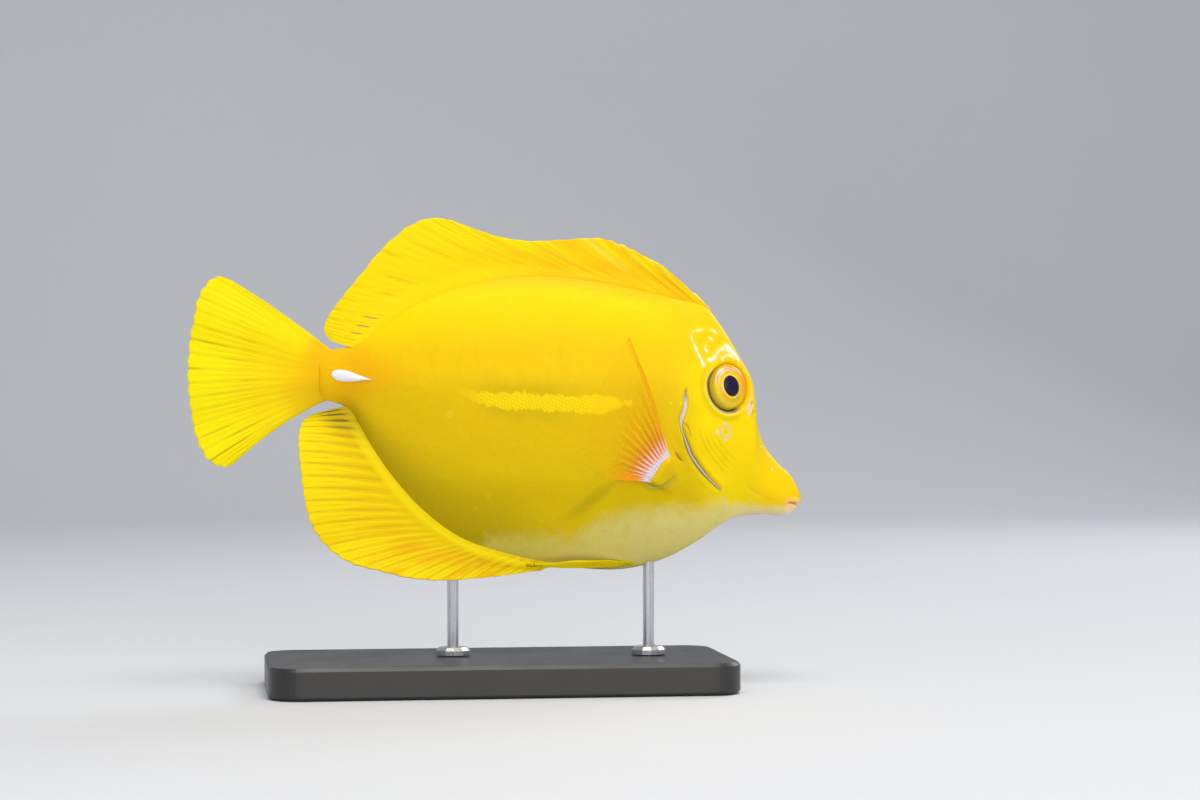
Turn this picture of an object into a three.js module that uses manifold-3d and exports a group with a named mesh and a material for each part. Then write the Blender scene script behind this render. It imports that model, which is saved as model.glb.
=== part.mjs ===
// A life-size, still model of a yellow tang (Zebrasoma flavescens), held by two rods on a flat base.
// Units are millimetres. The fish heads along +X, +Z is up and its middle plane is Y = 0, so its
// right side faces -Y. The origin is on the underside of the base, under the middle of the fish.
//
// The flesh is one closed loft over a row of ribs. Each rib is a slice from the back line to the
// keel line, with its own half width. The loft is then parted along the gill opening, behind the
// mouth and in front of the tail stem. Every fin is one sheet with its rays raised as ridges, and
// its root is trimmed by the loft grown by the gap that neighbouring pieces keep.
import * as THREE from "three";
import { mergeVertices } from "three/addons/utils/BufferGeometryUtils.js";
import Module from "manifold-3d";

const wasm = await Module();
wasm.setup();

// Driving dimensions
const GAP = 0.3; // between touching pieces
const LOWEST_FIN = 52.9; // depth of the anal fin's edge below the fish's axis
const CLEARANCE = 20; // air between the base and the anal fin
const BASE = { length: 120, width: 56, height: 8, corner: 7, bevel: 0.8 };
const ROD = { radius: 1.5, footRadius: 4.5, footHeight: 2, sides: 12 };
const AXIS_HEIGHT = BASE.height + CLEARANCE + LOWEST_FIN; // the fish's axis above the floor

// Ribs from the tail stem to the lips, with heights counted from the fish's axis:
// back x, back z, keel x, keel z, half width, share of the way down where it is widest, and how
// lean the slice is towards its back and its keel (0.5 is an ellipse, 0.8 nearly a lens).
const RIBS = [
  [-46.4, 4.2, -46.4, -4.6, 1.1, 0.5, 0.6, 0.6], // end of the tail stem
  [-44.8, 6.0, -45.0, -6.2, 1.9, 0.5, 0.6, 0.6],
  [-42.1, 7.0, -42.7, -6.8, 2.6, 0.5, 0.6, 0.6],
  [-37.4, 8.1, -38.5, -9.1, 3.4, 0.48, 0.62, 0.62],
  [-30.6, 13.0, -33.2, -18.5, 4.6, 0.44, 0.68, 0.68],
  [-22.7, 18.5, -27.4, -27.3, 5.8, 0.43, 0.72, 0.72],
  [-12.7, 22.9, -19.6, -36.1, 7.1, 0.43, 0.73, 0.72],
  [-0.9, 25.9, -8.5, -43.6, 8.2, 0.44, 0.73, 0.7],
  [12.2, 26.7, 5.6, -47.8, 9.1, 0.45, 0.73, 0.68],
  [25.3, 25.4, 20.1, -49.9, 9.6, 0.46, 0.72, 0.66],
  [37.2, 23.1, 32.4, -50.4, 9.9, 0.47, 0.7, 0.64],
  [46.6, 20.8, 42.9, -48.0, 9.8, 0.48, 0.67, 0.62],
  [54.0, 18.8, 52.1, -43.4, 9.3, 0.47, 0.62, 0.6], // nape and throat
  [59.0, 12.9, 58.2, -39.1, 8.7, 0.44, 0.56, 0.6],
  [63.1, 6.0, 62.1, -37.1, 7.9, 0.42, 0.52, 0.6], // through the eye
  [66.8, -1.0, 65.2, -36.7, 7.0, 0.44, 0.5, 0.58],
  [67.9, -10.7, 67.9, -36.4, 5.7, 0.48, 0.5, 0.56],
  [70.2, -17.9, 70.2, -36.2, 4.6, 0.5, 0.5, 0.54],
  [73.9, -22.8, 72.9, -36.6, 3.9, 0.5, 0.5, 0.52],
  [77.1, -25.7, 75.2, -36.6, 3.3, 0.5, 0.5, 0.5],
  [79.0, -28.9, 77.1, -36.1, 2.7, 0.5, 0.5, 0.5],
  [80.1, -31.7, 78.1, -35.2, 1.8, 0.5, 0.5, 0.5], // lips
  [79.9, -32.6, 78.5, -34.6, 1.0, 0.5, 0.5, 0.5],
];
const SLICES_PER_RIB = 3;
const ROUND_SLICE = 26; // points round one slice

// Gill opening on the side of the head, [x, z] from its top to the throat
const GILL_TOP = [48.9, 1.0];
const GILL_OPENING = [
  GILL_TOP,
  [48.2, -3.5],
  [48.0, -8.0],
  [46.9, -12.0],
  [47.9, -15.8],
  [49.5, -20.0],
  [52.1, -23.7],
  [55.1, -26.9],
  [58.6, -29.9],
];
const GILL_COVER_RISE = 0.7; // the cover's free edge above the torso
const GILL_COVER_FADE = 7; // distance ahead of the edge in which the rise fades

const EYE = {
  at: [59.3, -8.0, -2.7], // where its axis meets the skin of the right side
  forward: 22, // degrees that it looks ahead of sideways
  upward: 7,
  wide: 5.3, // half its width
  tall: 6.2,
  depth: 3.9, // half its thickness along the axis
  sunk: 2.2, // its centre under the skin
  pupilWide: 2.2,
  pupilTall: 2.75,
  pupilTilt: 12, // degrees that the pupil's top leans back
  rim: 0.55, // thickness of the ring of skin round it
};

// Smooth curve through evenly numbered values, at any place between them
function through(values, place) {
  const last = values.length - 1;
  const i = Math.min(Math.max(Math.floor(place), 0), last - 1);
  const t = place - i;
  const b = values[i];
  const c = values[i + 1];
  const a = i > 0 ? values[i - 1] : 2 * b - c;
  const d = i + 2 <= last ? values[i + 2] : 2 * c - b;
  const bend = 2 * a - 5 * b + 4 * c - d;
  const twist = 3 * b - a - 3 * c + d;
  return 0.5 * (2 * b + (c - a) * t + bend * t * t + twist * t * t * t);
}

const throughColumn = (rows, column, place) =>
  through(
    rows.map((row) => row[column]),
    place,
  );

const mix = (a, b, share) => a + (b - a) * share;

const smooth = (from, to, value) => THREE.MathUtils.smoothstep(value, from, to);

// A point of the skin: place along the ribs, and turn from 0 at the back over the right side
function skinPoint(place, turn, rise = () => 0) {
  const [backX, backZ, keelX, keelZ, halfWidth, widest, backLean, keelLean] = RIBS[0].map(
    (_, column) => throughColumn(RIBS, column, place),
  );
  const down = (1 - Math.cos(turn)) / 2;
  const shifted = Math.pow(down, Math.log(0.5) / Math.log(widest));
  const lean = mix(backLean, keelLean, smooth(0.2, 0.8, down));
  const out = halfWidth * Math.pow(Math.max(Math.sin(Math.PI * shifted), 0), lean);
  const x = mix(backX, keelX, down);
  const z = mix(backZ, keelZ, down);
  const fullness = Math.min(out / (0.6 * halfWidth), 1);
  const y = out + rise(x, z) * fullness;
  return new THREE.Vector3(x, Math.sin(turn) > 0 ? -y : y, z);
}

// Height of the back line or the keel line at a length x, by halving the span that holds it
function edgeHeight(column, x) {
  let low = 0;
  let high = RIBS.length - 4;
  for (let step = 0; step < 30; step++) {
    const middle = (low + high) / 2;
    if (throughColumn(RIBS, column, middle) < x) low = middle;
    else high = middle;
  }
  return throughColumn(RIBS, column + 1, low);
}
const BACK = 0;
const KEEL = 2;

// How far the gill cover stands proud at x, z
function gillCoverRise(x, z) {
  const [, top] = GILL_TOP;
  const bottom = GILL_OPENING.at(-1)[1];
  const share = THREE.MathUtils.clamp((top - z) / (top - bottom), 0, 1);
  const edgeX = throughColumn(GILL_OPENING, 0, share * (GILL_OPENING.length - 1));
  const ends = (1 - smooth(top - 4, top + 4, z)) * smooth(bottom - 5, bottom + 4, z);
  const ahead = Math.max(x - edgeX, 0);
  return GILL_COVER_RISE * ends * Math.max(1 - ahead / GILL_COVER_FADE, 0) ** 2;
}

// Solids from geometry and back
function solidOf(geometry) {
  const bare = geometry.clone();
  bare.deleteAttribute("normal");
  bare.deleteAttribute("uv");
  const merged = mergeVertices(bare, 1e-4);
  const vertProperties = new Float32Array(merged.attributes.position.array);
  const triVerts = new Uint32Array(merged.index.array);
  const made = new wasm.Manifold(new wasm.Mesh({ numProp: 3, vertProperties, triVerts }));
  if (made.volume() > 0) return made;
  for (let i = 0; i < triVerts.length; i += 3) {
    [triVerts[i], triVerts[i + 1]] = [triVerts[i + 1], triVerts[i]];
  }
  return new wasm.Manifold(new wasm.Mesh({ numProp: 3, vertProperties, triVerts }));
}

const biggest = (solid) =>
  solid.decompose().reduce((best, one) => (one.volume() > best.volume() ? one : best));

function geometryOf(solid) {
  const mesh = solid.getMesh();
  const geometry = new THREE.BufferGeometry();
  geometry.setAttribute("position", new THREE.BufferAttribute(mesh.vertProperties, 3));
  geometry.setIndex(new THREE.BufferAttribute(mesh.triVerts, 1));
  geometry.computeVertexNormals();
  return geometry;
}

// A grid of points, closed round and capped at both ends, as an indexed geometry
function closedTube(rows) {
  const around = rows[0].length;
  const points = rows.flat();
  const middleOf = (row) =>
    row.reduce((sum, p) => sum.add(p), new THREE.Vector3()).divideScalar(row.length);
  points.push(middleOf(rows[0]), middleOf(rows.at(-1)));
  const [firstCap, lastCap] = [points.length - 2, points.length - 1];
  const index = [];
  for (let i = 0; i < around; i++) {
    const next = (i + 1) % around;
    for (let r = 0; r + 1 < rows.length; r++) {
      const a = r * around;
      const b = a + around;
      index.push(a + i, b + i, b + next, a + i, b + next, a + next);
    }
    const end = (rows.length - 1) * around;
    index.push(firstCap, i, next, lastCap, end + next, end + i);
  }
  const geometry = new THREE.BufferGeometry().setFromPoints(points);
  geometry.setIndex(index);
  return geometry;
}

function fleshGeometry(rise) {
  const rows = [];
  for (let slice = 0; slice <= (RIBS.length - 1) * SLICES_PER_RIB; slice++) {
    const row = [];
    for (let i = 0; i < ROUND_SLICE; i++) {
      row.push(skinPoint(slice / SLICES_PER_RIB, (2 * Math.PI * i) / ROUND_SLICE, rise));
    }
    rows.push(row);
  }
  return closedTube(rows);
}

// The flesh grown by the gap along its normals: what trims the roots of fins, spines and rods
function grownFlesh() {
  const geometry = fleshGeometry(gillCoverRise);
  geometry.computeVertexNormals();
  const { position, normal } = geometry.attributes;
  for (let i = 0; i < position.count; i++) {
    const grown = new THREE.Vector3().fromBufferAttribute(position, i);
    grown.addScaledVector(new THREE.Vector3().fromBufferAttribute(normal, i), -GAP);
    position.setXYZ(i, grown.x, grown.y, grown.z);
  }
  return solidOf(geometry);
}

// A wall through the whole width along a line of [x, z] points, to part the flesh with
function wallAlong(line, thickness) {
  const side = (sign) =>
    line.map(([x, z], i) => {
      const [ax, az] = line[Math.max(i - 1, 0)];
      const [bx, bz] = line[Math.min(i + 1, line.length - 1)];
      const length = Math.hypot(bx - ax, bz - az);
      const step = (sign * thickness) / 2 / length;
      return new THREE.Vector2(x - (bz - az) * step, z + (bx - ax) * step);
    });
  const outline = new THREE.Shape([...side(1), ...side(-1).reverse()]);
  return acrossWidth(outline);
}

// An [x, z] outline run through the whole width of the fish
function acrossWidth(outline) {
  const width = 40;
  const geometry = new THREE.ExtrudeGeometry(outline, { depth: width, bevelEnabled: false });
  geometry.rotateX(Math.PI / 2);
  geometry.translate(0, width / 2, 0);
  return solidOf(geometry);
}

const plainFlesh = solidOf(fleshGeometry());
const finTrim = grownFlesh();

// Where the flesh is parted
const HEAD_LINE = [[52.5, 26], [50.2, 12], ...GILL_OPENING, [60.2, -34], [60.4, -44]];
const TAIL_LINE = [[-27.5, 22], [-30.2, 9], [-31.2, 0], [-32.2, -9], [-35.6, -22]];
const SNOUT_LINE = [[73.4, -12], [70.6, -20], [68.6, -28], [68.4, -42]];
const MOUTH_CORNER = [75.2, -33.4];
const JAW_LINE = [[84, -34.1], [79.2, -33.7], [77.2, -33.3], MOUTH_CORNER, [73.8, -34.6], [71.0, -39.5]];

// The fish stands on its rods as one group; each mesh is in the fish's own coordinates
const fish = new THREE.Group();
fish.position.z = AXIS_HEIGHT;

const MATERIALS = {
  skin: new THREE.MeshStandardMaterial({ color: "#f2cf00", roughness: 0.45 }),
  fin: new THREE.MeshStandardMaterial({ color: "#ffe000", roughness: 0.5 }),
  eye: new THREE.MeshStandardMaterial({ color: "#e0a800", roughness: 0.15 }),
  pupil: new THREE.MeshStandardMaterial({ color: "#0b0b18", roughness: 0.08 }),
  spine: new THREE.MeshStandardMaterial({ color: "#f4f0fa", roughness: 0.35 }),
  base: new THREE.MeshStandardMaterial({ color: "#2a2522", roughness: 0.4 }),
  rod: new THREE.MeshStandardMaterial({ color: "#b8bac0", roughness: 0.28, metalness: 1 }),
};

function addPiece(name, solid, material, parent = fish) {
  const mesh = new THREE.Mesh(geometryOf(biggest(solid)), MATERIALS[material]);
  mesh.name = name;
  parent.add(mesh);
}

// Names "part_right" and "part_left" for a piece and its mirror image in the middle plane
function addPair(name, solid, material) {
  addPiece(`${name}_right`, solid, material);
  addPiece(`${name}_left`, solid.mirror([0, 1, 0]), material);
}

// Eyes: a flattened ball under a ring of skin, with the pupil as its own dome
// A shape made round the Z axis is turned so that Z is the eye's axis and Y points up.
function onEyeAxis(geometry, depth) {
  const [forward, upward] = [EYE.forward, EYE.upward].map(THREE.MathUtils.degToRad);
  const axis = new THREE.Vector3(
    Math.cos(upward) * Math.sin(forward),
    -Math.cos(upward) * Math.cos(forward),
    Math.sin(upward),
  );
  const across = new THREE.Vector3(0, 0, 1).cross(axis).normalize();
  const above = new THREE.Vector3().crossVectors(axis, across);
  const turn = new THREE.Matrix4().makeBasis(across, above, axis);
  const place = new THREE.Vector3(...EYE.at).addScaledVector(axis, -depth);
  return geometry.applyMatrix4(turn).translate(place.x, place.y, place.z);
}

function eyeBall(grown) {
  const ball = new THREE.SphereGeometry(1, 20, 10);
  ball.rotateX(Math.PI / 2);
  ball.scale(EYE.wide + grown, EYE.tall + grown, EYE.depth + grown);
  return solidOf(onEyeAxis(ball, EYE.sunk));
}

function pupilDome(grown) {
  const dome = new THREE.SphereGeometry(1, 16, 8);
  dome.rotateX(Math.PI / 2);
  dome.scale(EYE.pupilWide + grown, EYE.pupilTall + grown, 0.7 + grown);
  dome.rotateZ(THREE.MathUtils.degToRad(EYE.pupilTilt));
  return solidOf(onEyeAxis(dome, EYE.sunk - EYE.depth + 0.25));
}

function eyeRim() {
  const ring = new THREE.TorusGeometry(1, EYE.rim, 6, 24);
  const { position } = ring.attributes;
  for (let i = 0; i < position.count; i++) {
    const [x, y] = [position.getX(i), position.getY(i)];
    const [cos, sin] = [x / Math.hypot(x, y), y / Math.hypot(x, y)];
    const beyond = Math.hypot(x, y) - 1 + EYE.rim / 2;
    position.setXY(i, cos * (EYE.wide + beyond), sin * (EYE.tall + beyond));
  }
  return solidOf(onEyeAxis(ring, 0.35));
}

addPair("eye", eyeBall(0).subtract(pupilDome(GAP)), "eye");
addPair("pupil", pupilDome(0), "pupil");

// Nostrils: two pits on each side between the eye and the forehead
const NOSTRILS = [[65.9, -7.2, 0.55], [66.3, -9.6, 0.4]];

function nostrilPit([x, z, radius]) {
  const pit = new THREE.CylinderGeometry(radius, radius * 0.6, 3, 10);
  pit.translate(x, 5.2, z);
  return solidOf(pit);
}

// Lips: a bent, tapering roll of skin round each half of the mouth
function lipRoll(corner, side, front) {
  const path = new THREE.CatmullRomCurve3([
    new THREE.Vector3(corner[0], -corner[1], corner[2]),
    new THREE.Vector3(side[0], -side[1], side[2]),
    new THREE.Vector3(front[0], 0, front[1]),
    new THREE.Vector3(side[0], side[1], side[2]),
    new THREE.Vector3(corner[0], corner[1], corner[2]),
  ]);
  const steps = 12;
  const radius = 0.6;
  const rows = [];
  for (let i = 0; i <= steps; i++) {
    const share = i / steps;
    const centre = path.getPoint(share);
    const along = path.getTangent(share);
    const up = new THREE.Vector3(0, 0, 1);
    const outward = new THREE.Vector3().crossVectors(along, up).normalize();
    const r = radius * (0.45 + 0.55 * Math.sin(Math.PI * share));
    const row = [];
    for (let k = 0; k < 8; k++) {
      const angle = (2 * Math.PI * k) / 8;
      const point = centre.clone().addScaledVector(outward, r * Math.cos(angle));
      row.push(point.addScaledVector(up, r * Math.sin(angle)));
    }
    rows.push(row);
  }
  return solidOf(closedTube(rows));
}

const upperLip = lipRoll([75.4, 2.3, -32.9], [78.2, 1.9, -32.4], [79.5, -32.2]);
const lowerLip = lipRoll([75.4, 2.1, -34.0], [77.0, 1.6, -34.5], [78.1, -34.7]);

// Head, snout and lower jaw, each with the sockets, pits and lips that lie in it
function mirrored(solid) {
  return solid.add(solid.mirror([0, 1, 0]));
}

const sockets = mirrored(eyeBall(GAP));
const rims = mirrored(eyeRim());
const pits = mirrored(nostrilPit(NOSTRILS[0]).add(nostrilPit(NOSTRILS[1])));
const headFlesh = solidOf(fleshGeometry(gillCoverRise)).add(rims).subtract(sockets);
const headPieces = headFlesh
  .subtract(pits)
  .add(upperLip)
  .add(lowerLip)
  .subtract(wallAlong(HEAD_LINE, GAP))
  .subtract(wallAlong(SNOUT_LINE, GAP))
  .subtract(wallAlong(JAW_LINE, GAP))
  .decompose();
const bodyPieces = plainFlesh
  .subtract(wallAlong(HEAD_LINE, GAP))
  .subtract(wallAlong(TAIL_LINE, GAP))
  .decompose();

// The piece whose box has its middle nearest to [x, z]
function pieceNear(pieces, x, z) {
  const away = (piece) => {
    const { min, max } = piece.boundingBox();
    return Math.hypot((min[0] + max[0]) / 2 - x, (min[2] + max[2]) / 2 - z);
  };
  return pieces.reduce((best, piece) => (away(piece) < away(best) ? piece : best));
}

addPiece("head", pieceNear(headPieces, 60, -12), "skin");
addPiece("snout", pieceNear(headPieces, 74, -26), "skin");
addPiece("lower_jaw", pieceNear(headPieces, 75, -35.5), "skin");
addPiece("torso", pieceNear(bodyPieces, 8, -12), "skin");
addPiece("tail_stem", pieceNear(bodyPieces, -42, 0), "skin");

// A fin: guide rays [root x, tip x, tip z] (or full points), filled in with even rays
// sheet(share along a ray, share across the fin) gives a point of its middle surface.
// Rays stand as ridges on both faces, and between them the edge is cut back by the notch.
function raySheet({ sheet, rays, rows, membrane, ridge, notch }) {
  const columns = 2 * rays - 1;
  const isRay = (column) => column % 2 === 0;
  const faces = [[], []];
  for (let c = 0; c < columns; c++) {
    const across = c / (columns - 1);
    const reach = isRay(c) ? 1 : 1 - notch(across);
    for (let r = 0; r <= rows; r++) {
      const along = (reach * r) / rows;
      const point = sheet(along, across);
      const stepAlong = sheet(along + 0.01, across).sub(point);
      const stepAcross = sheet(along, across + 0.001).sub(point);
      const normal = stepAlong.cross(stepAcross).normalize();
      const half = (membrane(along, across) + (isRay(c) ? ridge(along, across) : 0)) / 2;
      faces[0].push(point.clone().addScaledVector(normal, half));
      faces[1].push(point.clone().addScaledVector(normal, -half));
    }
  }
  const count = faces[0].length;
  const at = (c, r) => c * (rows + 1) + r;
  const index = [];
  const quad = (a, b, c, d) => index.push(a, b, c, a, c, d);
  for (let c = 0; c + 1 < columns; c++) {
    for (let r = 0; r < rows; r++) {
      const corners = [at(c, r), at(c + 1, r), at(c + 1, r + 1), at(c, r + 1)];
      quad(...corners);
      const [a, b, d, e] = corners.map((i) => i + count);
      index.push(a, d, b, a, e, d);
    }
    quad(at(c + 1, 0), at(c, 0), at(c, 0) + count, at(c + 1, 0) + count);
    quad(at(c, rows), at(c + 1, rows), at(c + 1, rows) + count, at(c, rows) + count);
  }
  for (let r = 0; r < rows; r++) {
    quad(at(0, r), at(0, r + 1), at(0, r + 1) + count, at(0, r) + count);
    const last = columns - 1;
    quad(at(last, r + 1), at(last, r), at(last, r) + count, at(last, r + 1) + count);
  }
  const geometry = new THREE.BufferGeometry().setFromPoints([...faces[0], ...faces[1]]);
  geometry.setIndex(index);
  return solidOf(geometry);
}

// Middle surface of a fin that stands on the back line or hangs from the keel line.
// Its guide rays are [root x, tip x, tip z]; its root is sunk into the flesh.
function edgeFin(guides, edge, sunk, bow, sway) {
  const guideSpan = guides.length - 1;
  return (along, across) => {
    const place = across * guideSpan;
    const rootX = throughColumn(guides, 0, place);
    const rootZ = edgeHeight(edge, rootX);
    const tipX = throughColumn(guides, 1, place);
    const tipZ = throughColumn(guides, 2, place);
    const length = Math.hypot(tipX - rootX, tipZ - rootZ);
    const [dx, dz] = [(tipX - rootX) / length, (tipZ - rootZ) / length];
    const reach = mix(-sunk, length, along);
    const arch = bow * length * 4 * along * (1 - along);
    return new THREE.Vector3(
      rootX + dx * reach - dz * arch,
      sway(along, across),
      rootZ + dz * reach + dx * arch,
    );
  };
}

// Membranes are 0.5 mm at the edge and thicken to a scaly sheath at the root
const finMembrane = (along) => mix(1.5, 0.5, smooth(0.05, 0.45, along));
const finRidge = (along) => mix(0.75, 0.3, smooth(0.1, 1, along));

// Dorsal fin: five spines in front, then soft rays that lean further back
const DORSAL_GUIDES = [
  [53.3, 51.8, 21.2],
  [52.8, 43.7, 28.4],
  [51.4, 37.4, 32.0],
  [49.4, 31.6, 34.7],
  [46.6, 26.0, 36.2],
  [38.6, 17.0, 35.7],
  [30.6, 7.9, 35.3],
  [24.8, -0.4, 36.4],
  [20.4, -8.0, 38.8],
  [15.6, -15.3, 41.0],
  [9.0, -22.2, 39.6],
  [-2.5, -29.8, 33.6],
  [-16.5, -36.6, 25.4],
  [-25.6, -41.4, 19.4],
  [-31.0, -44.4, 15.0],
  [-35.0, -45.2, 11.6],
  [-38.4, -43.4, 9.2],
];
const SPINY_SHARE = 0.26; // share of the dorsal fin that the spines hold
const dorsalSheet = edgeFin(DORSAL_GUIDES, BACK, 4, 0.035, (along, across) => {
  const pleat = Math.sin(across * 2 * Math.PI * 11) * (1 - smooth(0.1, 0.5, across));
  return along * (0.55 * pleat + 1.1 * Math.sin(across * 7) * smooth(0.2, 0.6, across));
});
const dorsal = raySheet({
  sheet: dorsalSheet,
  rays: 26,
  rows: 7,
  membrane: finMembrane,
  ridge: (along, across) => finRidge(along) * (across < SPINY_SHARE ? 1.3 : 1),
  notch: (across) => (across < SPINY_SHARE ? 0.1 : 0.03),
});
addPiece("dorsal_fin", dorsal.subtract(finTrim), "fin");

// Anal fin: three short spines in front, and its lower part leans to the right
const ANAL_GUIDES = [
  [15.0, 11.0, -50.4],
  [10.6, 3.6, -51.6],
  [4.6, -4.9, -52.4],
  [-0.5, -13.5, -LOWEST_FIN],
  [-4.0, -22.7, -52.3],
  [-7.2, -31.1, -50.3],
  [-10.5, -39.0, -48.0],
  [-14.2, -45.0, -43.7],
  [-18.4, -48.7, -38.2],
  [-22.6, -50.5, -31.7],
  [-27.4, -51.3, -25.0],
  [-31.6, -51.9, -18.5],
  [-34.8, -51.6, -14.2],
  [-37.2, -50.4, -11.4],
  [-39.6, -47.8, -9.8],
];
const ANAL_LEAN = 2.6;
const analSheet = edgeFin(ANAL_GUIDES, KEEL, 4, -0.03, (along, across) => {
  const lean = ANAL_LEAN * Math.sin(Math.PI * Math.min(across * 1.1, 1)) * along * along;
  return 0.35 * along * Math.sin(across * 16) - lean;
});
const anal = raySheet({
  sheet: analSheet,
  rays: 22,
  rows: 7,
  membrane: finMembrane,
  ridge: finRidge,
  notch: () => 0.03,
});

// Caudal fin: a fan from inside the tail stem, with the outer rays the stoutest
const CAUDAL_ROOT = { x: -42.6, top: 5.0, bottom: -5.0, curve: 1.4 };
const CAUDAL_TIPS = [
  [-69.2, 24.8],
  [-72.8, 25.6],
  [-75.9, 23.0],
  [-77.8, 19.2],
  [-78.6, 14.6],
  [-79.6, 9.9],
  [-80.0, 4.9],
  [-80.2, 0.0],
  [-79.9, -4.9],
  [-79.3, -9.6],
  [-78.5, -14.2],
  [-77.0, -18.4],
  [-74.7, -21.9],
  [-71.4, -23.5],
  [-68.6, -22.8],
];
const caudalSheet = (along, across) => {
  const place = across * (CAUDAL_TIPS.length - 1);
  const tipX = throughColumn(CAUDAL_TIPS, 0, place);
  const tipZ = throughColumn(CAUDAL_TIPS, 1, place);
  const rootX = CAUDAL_ROOT.x + CAUDAL_ROOT.curve * (2 * across - 1) ** 2;
  const rootZ = mix(CAUDAL_ROOT.top, CAUDAL_ROOT.bottom, across);
  const flare = mix(0.7, 2.2, across) * (2 * across - 1) ** 2 * Math.sin(Math.PI * along);
  const sway = 1.2 * along * along + 0.3 * along * Math.sin(across * 20);
  return new THREE.Vector3(mix(rootX, tipX, along), sway, mix(rootZ, tipZ, along) + flare);
};
const caudal = raySheet({
  sheet: caudalSheet,
  rays: 17,
  rows: 8,
  membrane: (along) => mix(1.7, 0.5, smooth(0, 0.55, along)),
  ridge: (along, across) => finRidge(along) * mix(1, 1.5, Math.abs(2 * across - 1)),
  notch: () => 0.025,
});
const caudalFin = caudal.subtract(finTrim);
addPiece("caudal_fin", caudalFin, "fin");
addPiece("anal_fin", anal.subtract(finTrim), "fin");

// Pectoral fin of the right side: guide rays fan from a fleshy lobe, [root x, root z, tip x, tip z]
const PECTORAL_GUIDES = [
  [42.7, -19.4, 31.3, 10.1],
  [42.1, -20.4, 28.5, 6.0],
  [41.3, -21.5, 26.0, 1.4],
  [40.5, -22.4, 23.9, -3.9],
  [39.5, -23.4, 22.2, -9.4],
  [38.5, -24.4, 21.2, -14.8],
  [37.7, -25.5, 21.0, -19.8],
  [37.2, -26.3, 22.3, -23.6],
  [37.0, -27.2, 25.6, -26.6],
];
const PECTORAL = { rootOut: 10.2, spread: 9, sunk: 3, lobe: [40.9, -23.8], lobeRadius: 4.6 };
const pectoralSheet = (along, across) => {
  const place = across * (PECTORAL_GUIDES.length - 1);
  const [rootX, rootZ, tipX, tipZ] = [0, 1, 2, 3].map((column) =>
    throughColumn(PECTORAL_GUIDES, column, place),
  );
  const length = Math.hypot(tipX - rootX, tipZ - rootZ);
  const share = mix(-PECTORAL.sunk / length, 1, along);
  const reach = Math.max(share, 0);
  const arch = 0.03 * length * Math.sin(Math.PI * reach) * (1 - across);
  const out = PECTORAL.rootOut + PECTORAL.spread * Math.pow(reach, 1.25) * mix(1, 0.7, across);
  const inward = Math.min(share, 0) * 8;
  return new THREE.Vector3(
    mix(rootX, tipX, share) + arch,
    -(out + inward),
    mix(rootZ, tipZ, share),
  );
};
const pectoralRays = raySheet({
  sheet: pectoralSheet,
  rays: 14,
  rows: 6,
  membrane: (along) => mix(1.1, 0.5, smooth(0, 0.4, along)),
  ridge: (along) => mix(0.7, 0.25, smooth(0.1, 1, along)),
  notch: () => 0.03,
});

function pectoralLobe() {
  const lobe = new THREE.SphereGeometry(1, 14, 8);
  lobe.scale(PECTORAL.lobeRadius, 1.8, 2.6);
  lobe.rotateY(THREE.MathUtils.degToRad(46));
  lobe.translate(PECTORAL.lobe[0], -9.9, PECTORAL.lobe[1]);
  return solidOf(lobe);
}

addPair("pectoral_fin", pectoralRays.add(pectoralLobe()).subtract(finTrim), "fin");

// Pelvic fins: folded back along the belly, [root x, root z, tip x, tip z], spine edge first
const PELVIC_GUIDES = [
  [35.2, -49.3, 13.0, -50.2],
  [34.8, -48.6, 13.6, -49.0],
  [34.2, -47.9, 16.0, -47.8],
];
const pelvicSheet = (along, across) => {
  const place = across * (PELVIC_GUIDES.length - 1);
  const [rootX, rootZ, tipX, tipZ] = [0, 1, 2, 3].map((column) =>
    throughColumn(PELVIC_GUIDES, column, place),
  );
  const out = mix(1.2, 4.1, smooth(0, 0.5, along)) + 0.8 * across;
  return new THREE.Vector3(mix(rootX, tipX, along), -out, mix(rootZ, tipZ, along));
};
const pelvic = raySheet({
  sheet: pelvicSheet,
  rays: 5,
  rows: 6,
  membrane: (along) => mix(1, 0.5, along),
  ridge: (along, across) => mix(0.5, 0.2, along) * (across < 0.1 ? 1.6 : 1),
  notch: () => 0.05,
});
addPair("pelvic_fin", pelvic.subtract(finTrim), "fin");

// Tail spine: a flat blade folded forward in its groove, with its point ahead
function tailSpine() {
  const [rear, tip] = [
    new THREE.Vector3(-43.4, -3.0, 0.8),
    new THREE.Vector3(-32.6, -4.9, -1.0),
  ];
  const rows = [];
  for (let i = 0; i <= 8; i++) {
    const share = mix(0.02, 0.98, i / 8);
    const centre = rear.clone().lerp(tip, share);
    const height = 1.35 * Math.sqrt(Math.sin(Math.PI * Math.min(share * 2.2 + 0.06, 0.5)));
    const taper = height * (1 - smooth(0.25, 1.05, share));
    const row = [];
    for (let k = 0; k < 10; k++) {
      const angle = (2 * Math.PI * k) / 10;
      const flat = new THREE.Vector3(0, 0.75 * Math.cos(angle), taper * Math.sin(angle));
      row.push(centre.clone().add(flat));
    }
    rows.push(row);
  }
  return solidOf(closedTube(rows));
}

addPair("tail_spine", tailSpine().subtract(finTrim), "spine");

// Display stand: a flat base, and two rods with a foot. The front rod meets the belly ahead of
// the pelvic fins, and the rear rod passes the anal fin on its left and meets the flank.
const RODS = [
  { name: "stand_rod_front", x: 39.5, y: 0, top: -40 },
  { name: "stand_rod_rear", x: -11.5, y: 4.2, top: -26 },
];

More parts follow.
